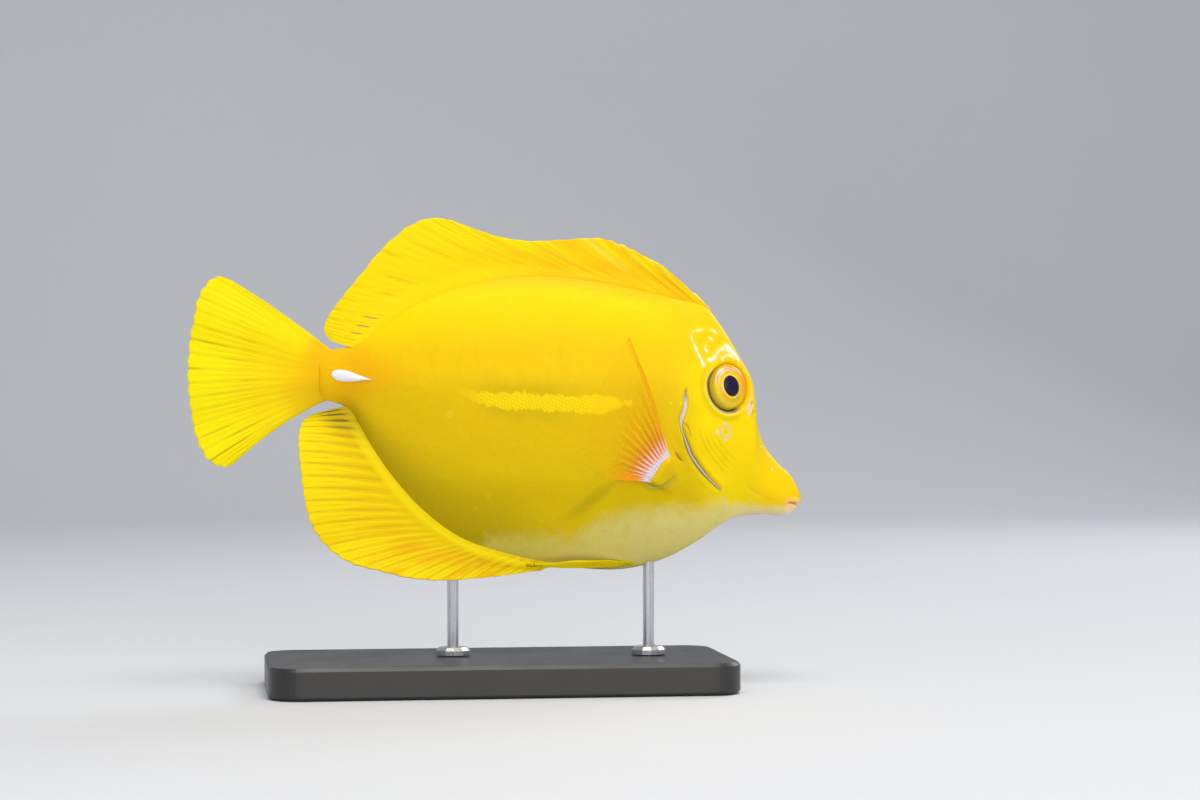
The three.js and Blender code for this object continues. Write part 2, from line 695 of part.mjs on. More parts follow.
function basePlate() {
  const { length, width, height, corner, bevel } = BASE;
  const [halfLength, halfWidth] = [length / 2 - bevel, width / 2 - bevel];
  const outline = new THREE.Shape();
  const corners = [[1, 1, 0], [-1, 1, 90], [-1, -1, 180], [1, -1, 270]];
  for (const [sx, sy, from] of corners) {
    const start = THREE.MathUtils.degToRad(from);
    const [x, y] = [sx * (halfLength - corner), sy * (halfWidth - corner)];
    outline.absarc(x, y, corner, start, start + Math.PI / 2, false);
  }
  const plate = new THREE.ExtrudeGeometry(outline, {
    depth: height - 2 * bevel,
    bevelEnabled: true,
    bevelThickness: bevel,
    bevelSize: bevel,
    bevelSegments: 1,
    curveSegments: 5,
  });
  return solidOf(plate.translate(0, 0, bevel));
}

function standRod({ x, y, top }) {
  const bottom = BASE.height + GAP - AXIS_HEIGHT;
  const { radius, footRadius, footHeight, sides } = ROD;
  const profile = [
    [0, bottom],
    [footRadius, bottom],
    [footRadius, bottom + footHeight * 0.6],
    [footRadius - 0.8, bottom + footHeight],
    [radius, bottom + footHeight],
    [radius, top],
    [0, top],
  ].map(([r, z]) => new THREE.Vector2(r, z));
  const rod = new THREE.LatheGeometry(profile, sides);
  return solidOf(rod.rotateX(Math.PI / 2).translate(x, y, 0));
}

const model = new THREE.Group();
model.add(fish);
addPiece("stand_base", basePlate(), "base", model);
for (const rod of RODS) addPiece(rod.name, standRod(rod).subtract(finTrim), "rod");

export default model;
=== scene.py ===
import math

import bmesh
import bpy
import numpy as np
from mathutils import Matrix, Vector, noise


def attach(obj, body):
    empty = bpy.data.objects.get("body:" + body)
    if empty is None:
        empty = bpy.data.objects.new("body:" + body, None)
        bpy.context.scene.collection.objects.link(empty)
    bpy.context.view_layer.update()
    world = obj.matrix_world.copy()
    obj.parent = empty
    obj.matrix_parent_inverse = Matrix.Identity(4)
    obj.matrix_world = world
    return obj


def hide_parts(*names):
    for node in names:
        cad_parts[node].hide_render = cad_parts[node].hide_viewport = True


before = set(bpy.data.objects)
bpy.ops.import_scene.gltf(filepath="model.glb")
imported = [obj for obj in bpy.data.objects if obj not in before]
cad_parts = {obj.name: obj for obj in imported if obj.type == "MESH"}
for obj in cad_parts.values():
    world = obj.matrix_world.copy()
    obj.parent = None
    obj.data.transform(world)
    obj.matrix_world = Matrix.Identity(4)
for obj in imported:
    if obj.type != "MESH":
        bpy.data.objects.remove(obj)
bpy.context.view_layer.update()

# Skin: one seamless hide from the lips to the tail stem. It is drawn over the rib stations that
# the flesh nodes were lofted from, then pressed and raised where the gill cover, eye sockets,
# mouth and pectoral roots are. It takes the place of every flesh node.
MM = 0.001
AXIS_HEIGHT = 80.9
RIBS = np.array([
    [-46.4, 4.2, -46.4, -4.6, 1.1, 0.5, 0.6, 0.6],
    [-44.8, 6.0, -45.0, -6.2, 1.9, 0.5, 0.6, 0.6],
    [-42.1, 7.0, -42.7, -6.8, 2.6, 0.5, 0.6, 0.6],
    [-37.4, 8.1, -38.5, -9.1, 3.4, 0.48, 0.62, 0.62],
    [-30.6, 13.0, -33.2, -18.5, 4.6, 0.44, 0.68, 0.68],
    [-22.7, 18.5, -27.4, -27.3, 5.8, 0.43, 0.72, 0.72],
    [-12.7, 22.9, -19.6, -36.1, 7.1, 0.43, 0.73, 0.72],
    [-0.9, 25.9, -8.5, -43.6, 8.2, 0.44, 0.73, 0.7],
    [12.2, 26.7, 5.6, -47.8, 9.1, 0.45, 0.73, 0.68],
    [25.3, 25.4, 20.1, -49.9, 9.6, 0.46, 0.72, 0.66],
    [37.2, 23.1, 32.4, -50.4, 9.9, 0.47, 0.7, 0.64],
    [46.6, 20.8, 42.9, -48.0, 9.8, 0.48, 0.67, 0.62],
    [54.0, 18.8, 52.1, -43.4, 9.3, 0.47, 0.62, 0.6],
    [59.0, 12.9, 58.2, -39.1, 8.7, 0.44, 0.56, 0.6],
    [63.1, 6.0, 62.1, -37.1, 7.9, 0.42, 0.52, 0.6],
    [66.8, -1.0, 65.2, -36.7, 7.0, 0.44, 0.5, 0.58],
    [67.9, -10.7, 67.9, -36.4, 5.7, 0.48, 0.5, 0.56],
    [70.2, -17.9, 70.2, -36.2, 4.6, 0.5, 0.5, 0.54],
    [73.9, -22.8, 72.9, -36.6, 3.9, 0.5, 0.5, 0.52],
    [77.1, -25.7, 75.2, -36.6, 3.3, 0.5, 0.5, 0.5],
    [79.0, -28.9, 77.1, -36.1, 2.7, 0.5, 0.5, 0.5],
    [80.1, -31.7, 78.1, -35.2, 1.8, 0.5, 0.5, 0.5],
    [79.9, -32.6, 78.5, -34.6, 1.0, 0.5, 0.5, 0.5],
])
GILL_OPENING = [
    [48.9, 1.0], [48.2, -3.5], [48.0, -8.0], [46.9, -12.0], [47.9, -15.8],
    [49.5, -20.0], [52.1, -23.7], [55.1, -26.9], [58.6, -29.9],
]
SLIT_WIDTHS = [
    (0, 0.2), (0.14, 0.5), (0.3, 0.55), (0.42, 0.35), (0.5, 0.4), (0.72, 0.75), (0.9, 0.7), (1, 0.2),
]
GILL_SLIT_DEPTH = 0.8
GILL_COVER_RISE = 0.7
GILL_COVER_FADE = 7
EYE_AT = Vector((59.3, -8.0, -2.7))
EYE_FORWARD = 22
EYE_UPWARD = 7
EYE_WIDE = 5.5
EYE_AHEAD = 0.55
EYE_TALL = 6.2
MOUTH_LINE = [[81.5, -34.0], [79.2, -33.7], [77.2, -33.3], [75.6, -33.5]]
LOBE_RIDGE = [[44.2, -20.6], [41.9, -21.9], [40.4, -24.0], [39.0, -26.2], [38.2, -27.6]]
LOBE_CREASE = [[37.2, -27.7], [38.4, -28.7], [39.8, -29.0], [42.3, -28.3], [45.0, -26.4], [48.2, -24.8]]
LOBE_NICK = [[45.2, -19.9], [45.9, -21.1], [46.9, -21.9], [47.8, -22.2]]
PREOPERCLE = [[51.6, -9.0], [52.2, -15.0], [53.2, -20.0], [55.6, -24.4], [60.0, -27.6]]
JAW_CREASE = [[63.6, -27.2], [66.2, -29.9], [69.4, -31.7], [73.4, -33.2]]
PALE_SQUIGGLES = [
    (0.42, [
        [52.6, 11.9], [51.3, 11.75], [50.05, 11.1], [49.8, 9.8],
        [50.3, 8.3], [51.15, 6.55], [51.9, 4.6], [52.7, 2.75],
    ]),
    (0.38, [[55.2, 12.0], [56.1, 11.6], [56.8, 10.8]]),
    (0.5, [[53.4, 7.85], [53.2, 7.1], [53.7, 6.4]]),
    (0.75, [[55.4, 4.6], [56.1, 5.5], [56.8, 6.4], [57.9, 7.0]]),
    (0.42, [[57.8, 3.95], [57.9, 4.7], [58.7, 5.1], [60.0, 5.25], [60.9, 4.8], [61.2, 3.95]]),
    (0.62, [[58.8, 7.85], [59.6, 7.2], [60.7, 6.2], [61.8, 5.1], [62.6, 4.2]]),
    (0.4, [[54.8, 9.7], [55.1, 9.5], [55.3, 9.4]]),
    (0.4, [[54.0, 4.3], [54.3, 4.1], [54.5, 3.9]]),
]
FOLD_PITCH = 1.3
BRIDLE_PATCH = [[65.2, -4.4], [64.9, -7.0], [64.9, -10.3]]
BAND_X = [-14, -12.5, -6.2, 3.0, 12, 17.4, 22.6, 26.3, 33.1, 36]
BAND_TOP = [-2.2, -2.3, -4.2, -4.1, -4.6, -4.8, -4.9, -5.2, -6.0, -7]
BAND_BOTTOM = [-2.4, -3.6, -7.3, -8.9, -9.2, -9.3, -10.1, -9.6, -7.8, -7]
TAIL_ROOT_X = -42.6
TAIL_LENGTH = 37
MEMBRANE = 0.45
SKIN_AROUND = 320
SKIN_ALONG = 300
STEM_BLEND = 0.3
MOUTH_DEPTH = 0.6
LOBE_RISE = 1.9
SOCKET_DEPTH = 3.4
BELLY_X = [
    -12, -6.2, -3.1, 1.6, 6.6, 12.1, 17.9, 20, 23.7, 26.6,
    31.6, 35.8, 43.7, 51.6, 58.6, 60.9, 66, 75, 82,
]
BELLY_TOP = [
    -46, -42.6, -40.8, -40, -39.5, -40, -40.6, -39.5, -36.7, -35.6,
    -33.8, -33.5, -33.5, -33.3, -30.4, -32.2, -32.6, -33.3, -34.2,
]


def mix(a, b, share):
    return a + (b - a) * share


def smooth(start, end, value):
    share = np.clip((value - start) / (end - start), 0, 1)
    return share * share * (3 - 2 * share)


def through(rows, place):
    rows = np.asarray(rows, float)
    place = np.atleast_1d(np.asarray(place, float))
    last = len(rows) - 1
    i = np.clip(np.floor(place).astype(int), 0, last - 1)
    b, c = rows[i], rows[i + 1]
    a = np.where((i > 0)[:, None], rows[np.maximum(i - 1, 0)], 2 * b - c)
    d = np.where((i + 2 <= last)[:, None], rows[np.minimum(i + 2, last)], 2 * c - b)
    t = (place - i)[:, None]
    bend = 2 * a - 5 * b + 4 * c - d
    twist = 3 * b - a - 3 * c + d
    return 0.5 * (2 * b + (c - a) * t + bend * t * t + twist * t**3)


def flesh_surface(place, turn):
    cols = through(RIBS, place).T
    back_x, back_z, keel_x, keel_z, half, widest, back_lean, keel_lean = cols
    down = (1 - np.cos(turn)) / 2
    shifted = down ** (math.log(0.5) / np.log(widest))
    lean = mix(back_lean, keel_lean, smooth(0.2, 0.8, down))
    out = half * np.maximum(np.sin(np.pi * shifted), 0) ** lean
    side = np.where(np.sin(turn) > 0, -1.0, 1.0)
    x, z = mix(back_x, keel_x, down), mix(back_z, keel_z, down)
    rise = gill_cover_rise(x, z) * np.minimum(out / (0.6 * half), 1)
    return np.stack([x, side * (out + rise), z], 1), down


def gill_cover_rise(x, z):
    top, bottom = GILL_OPENING[0][1], GILL_OPENING[-1][1]
    share = np.clip((top - z) / (top - bottom), 0, 1)
    edge = through(GILL_OPENING, share * (len(GILL_OPENING) - 1))[:, 0]
    ends = smooth(top + 4, top - 4, z) * smooth(bottom - 5, bottom + 4, z)
    ahead = np.maximum(x - edge, 0)
    return GILL_COVER_RISE * ends * np.maximum(1 - ahead / GILL_COVER_FADE, 0) ** 2


def off_line(line, x, z, reach=14.0):
    """Distance in millimetres from a smooth line, below zero on its right, and the share along it."""
    samples = through(line, np.linspace(0, len(line) - 1, 40 * (len(line) - 1)))
    heading = np.gradient(samples, axis=0)
    coarse, coarse_heading = samples[::20], heading[::20]
    far_x, far_z = x[:, None] - coarse[None, :, 0], z[:, None] - coarse[None, :, 1]
    nearest = (far_x**2 + far_z**2).argmin(1)
    rows = np.arange(len(x))
    far_x, far_z = far_x[rows, nearest], far_z[rows, nearest]
    side = coarse_heading[nearest, 0] * far_z - coarse_heading[nearest, 1] * far_x
    away, share = np.where(side < 0, -reach, reach), nearest * 20 / (len(samples) - 1)
    low, high = samples.min(0) - reach, samples.max(0) + reach
    near = np.flatnonzero((x > low[0]) & (x < high[0]) & (z > low[1]) & (z < high[1]))
    gap_x = x[near, None] - samples[None, :, 0]
    gap_z = z[near, None] - samples[None, :, 1]
    nearest = (gap_x**2 + gap_z**2).argmin(1)
    rows = np.arange(len(near))
    gx, gz = gap_x[rows, nearest], gap_z[rows, nearest]
    side = heading[nearest, 0] * gz - heading[nearest, 1] * gx
    away[near] = np.hypot(gx, gz) * np.where(side < 0, -1, 1)
    share[near] = nearest / (len(samples) - 1)
    return away, share


def bell(value, width):
    return np.exp(-((value / width) ** 2))


def eye_axis(side):
    """Unit vector that the eye of one side looks along: side is -1 on the right, 1 on the left."""
    forward, up = math.radians(EYE_FORWARD), math.radians(EYE_UPWARD)
    flat = math.cos(up)
    return Vector((flat * math.sin(forward), side * flat * math.cos(forward), math.sin(up)))


def eye_frame(points, side):
    """Height over the skin along the eye's axis, and the place across it, in millimetres."""
    axis = eye_axis(side)
    centre = np.array((EYE_AT.x, -side * EYE_AT.y, EYE_AT.z))
    across = Vector((0, 0, 1)).cross(axis).normalized()
    upward = axis.cross(across)
    local = points - centre
    return local @ np.array(axis), local @ np.array(across), local @ np.array(upward)


def clear_selection():
    bpy.ops.object.select_all(action="DESELECT")


def get_points(piece):
    flat = np.empty(len(piece.data.vertices) * 3, np.float32)
    piece.data.vertices.foreach_get("co", flat)
    return flat.reshape(-1, 3).astype(float)


def set_points(piece, points):
    piece.data.vertices.foreach_set("co", points.astype(np.float32).ravel())
    piece.data.update()


def to_room(points):
    """From the fish's own millimetres to metres above the floor."""
    return (points + np.array([0, 0, AXIS_HEIGHT])) * MM


def face_outward(piece):
    shell = bmesh.new()
    shell.from_mesh(piece.data)
    bmesh.ops.recalc_face_normals(shell, faces=shell.faces)
    shell.to_mesh(piece.data)
    shell.free()
    piece.data.update()


def keep_value(piece, name, values):
    layer = piece.data.attributes.new(name, "FLOAT", "POINT")
    layer.data.foreach_set("value", np.asarray(values, np.float32))


def smooth_faces(piece):
    piece.data.polygons.foreach_set("use_smooth", [True] * len(piece.data.polygons))


def tail_root_thickness(along, across):
    """The tail fin's thickness where the stem's flesh runs out over it."""
    root = MEMBRANE + 3.0 * np.sin(np.pi * np.clip(across, 0, 1)) ** 0.6
    return mix(root, MEMBRANE, smooth(-0.1, 0.5, along))


clear_selection()
bpy.ops.mesh.primitive_uv_sphere_add(segments=SKIN_AROUND, ring_count=SKIN_ALONG, radius=1)
skin = bpy.context.object
skin.name = "skin"
ball = get_points(skin)
pole_share = np.arctan2(np.hypot(ball[:, 0], ball[:, 1]), ball[:, 2]) / np.pi
turn = np.arctan2(ball[:, 1], ball[:, 0]) % (2 * np.pi)
side_turn = np.where(turn < np.pi, turn, 2 * np.pi - turn) / np.pi
even_down = mix(side_turn, (1 - np.cos(np.pi * side_turn)) / 2, 0.5)
turn = np.arccos(np.clip(1 - 2 * even_down, -1, 1)) * np.where(turn <= np.pi, 1, -1)
CAP_SHARE = 0.007
middles = (RIBS[:, 0:2] + RIBS[:, 2:4]) / 2
steps = np.hypot(*np.diff(middles, axis=0).T) ** 0.7
steps[11:] *= 1.6
knots = np.concatenate([[0], np.cumsum(steps)]) / steps.sum()
run = np.clip((pole_share - CAP_SHARE) / (1 - 2 * CAP_SHARE), 0, 1)
place = np.interp(run, knots, np.arange(len(RIBS)))
skin_points, down_share = flesh_surface(place, turn)
tail_share = np.clip((TAIL_ROOT_X - skin_points[:, 0]) / TAIL_LENGTH, 0, 1)
edge_high = mix(5.0, 24.0, tail_share)
tail_across = np.clip(0.5 - skin_points[:, 2] / (2 * edge_high), 0, 1)
fin_half = tail_root_thickness(tail_share, tail_across) / 2 - 0.1
proud = (np.abs(skin_points[:, 1]) - fin_half) / STEM_BLEND
blended = fin_half + STEM_BLEND * np.log1p(np.exp(np.clip(proud, -30, 30)))
near_tail = smooth(-39.0, -43.0, skin_points[:, 0]) * (np.abs(skin_points[:, 1]) > 0.02)
skin_points[:, 1] = np.sign(skin_points[:, 1]) * mix(np.abs(skin_points[:, 1]), blended, near_tail)
closing = np.clip(np.minimum(pole_share, 1 - pole_share) / CAP_SHARE, 0, 1)
core = through(RIBS, place)
core = np.stack([(core[:, 0] + core[:, 2]) / 2, 0 * place, (core[:, 1] + core[:, 3]) / 2], 1)
skin_points = core + (skin_points - core) * np.sqrt(1 - (1 - closing) ** 2)[:, None]
set_points(skin, skin_points)
face_outward(skin)

normals = np.empty(len(skin_points) * 3, np.float32)
skin.data.vertices.foreach_get("normal", normals)
normals = normals.reshape(-1, 3).astype(float)
x, y, z = skin_points.T
flank = smooth(0.02, 0.14, down_share) * smooth(0.98, 0.86, down_share)
gill_off, gill_run = off_line(GILL_OPENING, x, z)
opening = smooth(0.08, 0.2, gill_run) * smooth(1.0, 0.95, gill_run)
slit_width = np.interp(gill_run, *np.transpose(SLIT_WIDTHS))
slit_depth = GILL_SLIT_DEPTH * mix(0.55, 1, smooth(0.25, 0.5, gill_run))
press = -slit_depth * opening * bell(gill_off + 0.45, slit_width)
press += 0.22 * opening * bell(gill_off + 1.9, 0.9) + 0.18 * opening * bell(gill_off - 0.9, 0.5)
hook, hook_run = off_line([[47.4, -12.2], [48.3, -13.2], [49.0, -15.4], [49.6, -17.6]], x, z)
press -= 0.2 * bell(hook, 0.3) * smooth(0, 0.2, hook_run) * smooth(1, 0.6, hook_run)
cheek = smooth(2.2, 3.6, gill_off) * smooth(10.5, 7.0, gill_off)
cheek *= smooth(-11.5, -18.0, z) * smooth(0.98, 0.8, gill_run)
press += 0.15 * cheek * np.sin(2 * np.pi * gill_off / FOLD_PITCH + 1.5 * np.sin(0.4 * z))
preopercle, preopercle_run = off_line(PREOPERCLE, x, z)
press += 0.25 * bell(preopercle - 1.2, 1.6) * smooth(0, 0.3, preopercle_run) * smooth(1, 0.7, preopercle_run)
nape, _ = off_line([[48.9, 1.6], [50.0, 6.0], [52.0, 11.0]], x, z)
press -= 0.1 * bell(nape, 1.0) * flank
lobe, lobe_run = off_line(LOBE_RIDGE, x, z)
swelling = smooth(-1.0, 0.6, lobe) * bell(np.maximum(lobe - 0.6, 0), 4.0)
press += LOBE_RISE * swelling * smooth(0, 0.15, lobe_run) * smooth(1, 0.88, lobe_run) * (lobe < 12)
crease, crease_run = off_line(LOBE_CREASE, x, z)
press -= 0.45 * bell(crease, 0.5) * smooth(0, 0.15, crease_run) * smooth(1, 0.6, crease_run)
nick, nick_run = off_line(LOBE_NICK, x, z)
press -= 0.4 * bell(nick, 0.4) * smooth(0, 0.3, nick_run) * smooth(1, 0.5, nick_run)
jaw, jaw_run = off_line(JAW_CREASE, x, z)
jaw_line = bell(jaw, 0.55) * smooth(0, 0.35, jaw_run) * smooth(1, 0.55, jaw_run)
press -= 0.16 * jaw_line
mouth, mouth_run = off_line(MOUTH_LINE, x, z)
press -= MOUTH_DEPTH * bell(mouth, 0.28) * smooth(1, 0.7, mouth_run)
press += 0.25 * bell(np.abs(mouth) - 0.9, 0.55) * smooth(0.98, 0.5, mouth_run)
for pit_x, pit_z, pit_wide in [(65.9, -7.2, 0.55), (66.3, -9.6, 0.42)]:
    press -= 0.6 * bell(np.hypot(x - pit_x, z - pit_z), pit_wide)
    press += 0.15 * bell(np.hypot(x - pit_x, z - pit_z) - 0.8, 0.3)
squiggle = np.full(len(x), 20.0)
for line_width, line in PALE_SQUIGGLES:
    squiggle = np.minimum(squiggle, np.abs(off_line(line, x, z)[0]) / line_width)
press += 0.16 * bell(squiggle, 1.0)
flow = [noise.noise(Vector(p) * 0.11) for p in skin_points]
grain = [noise.noise(Vector(p) * 0.5 + Vector((9, 4, 2))) for p in skin_points]
press += flank * (0.12 * np.array(flow) + 0.025 * np.array(grain))
skin_points += normals * press[:, None]
eye_off = np.full(len(x), 20.0)
eye_low = np.zeros(len(x))
for side in (-1, 1):
    height, across, upward = eye_frame(skin_points, side)
    forward = (across if side < 0 else -across) - EYE_AHEAD
    ring = np.hypot(forward / EYE_WIDE, upward / EYE_TALL)
    near = (ring < 2.5) & (np.sign(y) == side) & (np.abs(height) < 7)
    axis = np.array(eye_axis(side))
    reach = (ring - 1) * EYE_TALL
    low_behind = (-0.85 * forward - 0.5 * upward) / EYE_TALL
    open_lid = smooth(0.2, 0.8, low_behind)
    open_front = smooth(0.5, 0.95, forward / EYE_WIDE)
    reach = reach - 0.4 * open_lid - 0.45 * open_front
    sink = SOCKET_DEPTH * smooth(0.2, -1.2, reach) + 0.4 * open_lid * bell(reach - 0.25, 0.4)
    lid = (0.26 * bell(reach - 1.1, 0.7) + 0.1 * bell(reach - 2.9, 0.8)) * (1 - 0.6 * open_front)
    lift = np.where(near, lid - sink, 0.0)
    skin_points += axis * lift[:, None]
    eye_off = np.where(near, reach, eye_off)
    eye_low = np.where(near, low_behind, eye_low)
set_points(skin, to_room(skin_points))
smooth_faces(skin)
bridle, bridle_run = off_line(BRIDLE_PATCH, x, z)
bridle = np.abs(bridle) / np.interp(bridle_run, [0, 0.5, 1], [0.9, 1.4, 0.4])
for name, values in {
    "down_share": down_share,
    "gill_off": gill_off,
    "gill_run": gill_run,
    "eye_off": eye_off,
    "eye_low": eye_low,
    "squiggle": squiggle,
    "bridle": bridle,
    "mouth_off": mouth,
    "crease_off": crease,
    "nick_off": nick,
    "hook_off": hook,
    "cheek": cheek,
    "jaw_line": jaw_line,
    "band_in": np.minimum(np.interp(x, BAND_X, BAND_TOP) - z, z - np.interp(x, BAND_X, BAND_BOTTOM)),
    "belly_in": np.interp(x, BELLY_X, BELLY_TOP) - z,
}.items():
    keep_value(skin, name, values)


class Signal:
    """An output in a shader tree that does sums as a number does. Each sum adds a math node."""

    def __init__(self, socket):
        self.socket = socket
        self.tree = socket.id_data

    def sum_up(self, operation, other=0.0):
        return Signal(put(self.tree, "ShaderNodeMath", {0: self, 1: other}, operation=operation).outputs[0])

    def __add__(self, other):
        return self.sum_up("ADD", other)

    def __sub__(self, other):
        return self.sum_up("SUBTRACT", other)

    def __mul__(self, other):
        return self.sum_up("MULTIPLY", other)

    def __truediv__(self, other):
        return self.sum_up("DIVIDE", other)

    def __pow__(self, other):
        return self.sum_up("POWER", other)

    def __abs__(self):
        return self.sum_up("ABSOLUTE")


def feed(node, key, value):
    """Links a signal to a node's input, or sets the input to a plain value."""
    value = getattr(value, "socket", value)
    if isinstance(value, bpy.types.NodeSocket):
        node.id_data.links.new(value, node.inputs[key])
    else:
        node.inputs[key].default_value = value


def put(tree, kind, inputs=(), **settings):
    """Adds a node. Its inputs are given by name or number."""
    node = tree.nodes.new(kind)
    for key, value in settings.items():
        setattr(node, key, value)
    for key, value in dict(inputs).items():
        feed(node, key, value)
    return node


def fade(value, start, end, low=0.0, high=1.0):
    """Turns a value into a soft mask that goes from low at start to high at end."""
    turned = start > end
    span = {"Value": value, "From Min": end if turned else start, "From Max": start if turned else end}
    span.update({"To Min": high if turned else low, "To Max": low if turned else high})
    return Signal(put(value.tree, "ShaderNodeMapRange", span, interpolation_type="SMOOTHSTEP").outputs[0])


def tint(share, under, over):
    ends = [(*tone, 1.0) if isinstance(tone, tuple) else tone for tone in (under, over)]
    inputs = {0: share, 6: ends[0], 7: ends[1]}
    return Signal(put(share.tree, "ShaderNodeMix", inputs, data_type="RGBA").outputs[2])


class Paint:
    """Colour in layers. Each layer goes over those before it, as far as its mask lets it."""

    def __init__(self, tone):
        self.tone = tone

    def lay(self, mask, tone):
        self.tone = tint(mask, self.tone, tone)


def cloud(spot, scale, detail=3.0, rough=0.5):
    inputs = {"Vector": spot, "Scale": scale, "Detail": detail, "Roughness": rough}
    return Signal(put(spot.tree, "ShaderNodeTexNoise", inputs).outputs[0])


def stretched(spot, scale=(1.0, 1.0, 1.0), turn=(0.0, 0.0, 0.0)):
    inputs = {"Vector": spot, "Scale": scale, "Rotation": turn}
    return Signal(put(spot.tree, "ShaderNodeMapping", inputs).outputs[0])


def joined(x, y, z=0.0):
    return Signal(put(x.tree, "ShaderNodeCombineXYZ", {0: x, 1: y, 2: z}).outputs[0])


def emboss(shader, height, strength, distance):
    inputs = {"Height": height, "Strength": strength, "Distance": distance}
    feed(shader, "Normal", put(shader.id_data, "ShaderNodeBump", inputs).outputs[0])


def stored(tree, name):
    return Signal(put(tree, "ShaderNodeAttribute", attribute_name=name).outputs["Fac"])


def new_finish(name):
    """A new material, its tree, its shader and the object's own coordinates."""
    finish = bpy.data.materials.new(name)
    finish.use_nodes = True
    tree = finish.node_tree
    spot = Signal(put(tree, "ShaderNodeTexCoord").outputs["Object"])
    return finish, tree, tree.nodes["Principled BSDF"], spot


LEMON = (0.98, 0.69, 0.0008)
GOLD = (0.9, 0.57, 0.0008)
AMBER = (0.84, 0.39, 0.002)
STRAW = (0.76, 0.51, 0.001)
OCHRE = (0.62, 0.43, 0.001)
OLIVE = (0.4, 0.3, 0.003)
STEM_END = (0.88, 0.5, 0.001)
UMBER = (0.10, 0.07, 0.02)
SCALE_PITCH = 0.00095
ROW_SLANT = 0.65


def scale_relief():
    """Small rough scales in slanting rows: a height for bump, and a mask of their dark joints."""
    group = bpy.data.node_groups.new("small scales", "ShaderNodeTree")
    group.interface.new_socket("Vector", in_out="INPUT", socket_type="NodeSocketVector")
    for name, way in (("Pitch", "INPUT"), ("Height", "OUTPUT"), ("Joint", "OUTPUT")):
        group.interface.new_socket(name, in_out=way, socket_type="NodeSocketFloat")
    start = group.nodes.new("NodeGroupInput")
    end = group.nodes.new("NodeGroupOutput")
    parts = put(group, "ShaderNodeSeparateXYZ", {0: start.outputs["Vector"]}).outputs
    rows = Signal(parts["Z"]) / start.outputs["Pitch"]
    files = Signal(parts["X"]) / start.outputs["Pitch"]
    shift = rows.sum_up("FLOOR").sum_up("FLOORED_MODULO", 2.0) * 0.5
    across = (files + shift).sum_up("FRACT") - 0.5
    height = rows.sum_up("FRACT") - 0.5
    lap = (across + 0.5) - abs(height) ** 2.0 * 1.6
    feed(end, "Height", lap)
    feed(end, "Joint", fade(abs(lap), 0.22, 0.0))
    return group


hide, tree, shader, spot = new_finish("yellow scaled skin")
parts = put(tree, "ShaderNodeSeparateXYZ", {0: spot}).outputs
along = Signal(parts["X"]) * 1000.0
up = Signal(parts["Z"]) * 1000.0 - AXIS_HEIGHT
mottle = cloud(spot, 45.0, 4.0)
fleck = cloud(spot, 420.0, 3.0)
scales = put(tree, "ShaderNodeGroup", node_tree=scale_relief())
wavy = put(tree, "ShaderNodeVectorMath", {0: spot}, operation="ADD")
drift = put(tree, "ShaderNodeTexNoise", {"Vector": spot, "Scale": 90.0})
drift = put(tree, "ShaderNodeVectorMath", {0: drift.outputs["Color"], "Scale": 0.0012}, operation="SCALE")
feed(wavy, 1, drift.outputs[0])
feed(scales, "Vector", stretched(Signal(wavy.outputs[0]), turn=(0.0, ROW_SLANT, 0.0)))
feed(scales, "Pitch", SCALE_PITCH)

ragged = mottle * 7.0 - 3.5
streaks = stretched(spot, (1.0, 1.0, 0.16))
streaks = cloud(streaks, 420.0, 2.0)
height = up + ragged
# Lighter over the back and darker down the flank: partly the fish's own colour, partly painted shade of the
# light from above.
paint = Paint(GOLD)
paint.lay(fade(height, 4.0, 20.0), LEMON)
paint.lay(fade(height, 6.0, -4.0, 0.0, 0.8), STRAW)
paint.lay(fade(height, -12.0, -34.0, 0.0, 0.5), (0.74, 0.56, 0.001))
upright = fade(streaks, 0.42, 0.7, 0.0, 0.16) * fade(abs(up - 3.0), 9.0, 3.0)
upright = upright * fade(abs(along + 2.0), 34.0, 16.0)
paint.lay(upright, OCHRE)
share_down = stored(tree, "down_share")
shade_edge = fade(share_down, 0.68, 0.98, 0.0, 0.7) * fade(along, 20.0, -4.0, 0.1, 1.0)
paint.lay(shade_edge, OLIVE)
band_in = stored(tree, "band_in")
teeth = stretched(spot, (1.0, 1.0, 0.2))
teeth = cloud(teeth, 900.0, 2.0) * 2.6 - 1.3
band_ragged = band_in + teeth + (fleck * 2.0 - 1.0)
above_band = fade(band_ragged, -4.5, -0.3, 0.0, 0.6) * fade(abs(along - 6.0), 16.0, 5.0)
paint.lay(above_band, OCHRE)
stem = fade(along + abs(up) * 1.4, -16.0, -36.0, 0.0, 0.85) * fade(up, -9.0, -1.0, 0.3, 1.0)
paint.lay(stem, AMBER)
paint.lay(fade(along, -36.0, -45.0), STEM_END)
back_line = fade(share_down, 0.07, 0.0, 0.0, 0.6) * fade(along, 54.0, 40.0)
back_line = back_line * fade(along, -22.0, 8.0, 0.1, 1.0)
paint.lay(back_line, AMBER)
head = fade(along + up * 0.2, 42.0, 52.0, 0.0, 0.9)
snout_share = fade(along + ragged, 58.0, 79.0)
head_tone = tint(snout_share, (0.99, 0.73, 0.0008), (0.97, 0.61, 0.0008))
head_tone = tint(fade(height, -6.0, 8.0), head_tone, (0.97, 0.6, 0.0008))
paint.lay(head, head_tone)
warm = fade(abs(up - 7.5), 4.5, 1.0, 0.0, 0.45) * fade(abs(along - 55.0), 5.0, 1.5)
paint.lay(warm, (0.98, 0.5, 0.001))

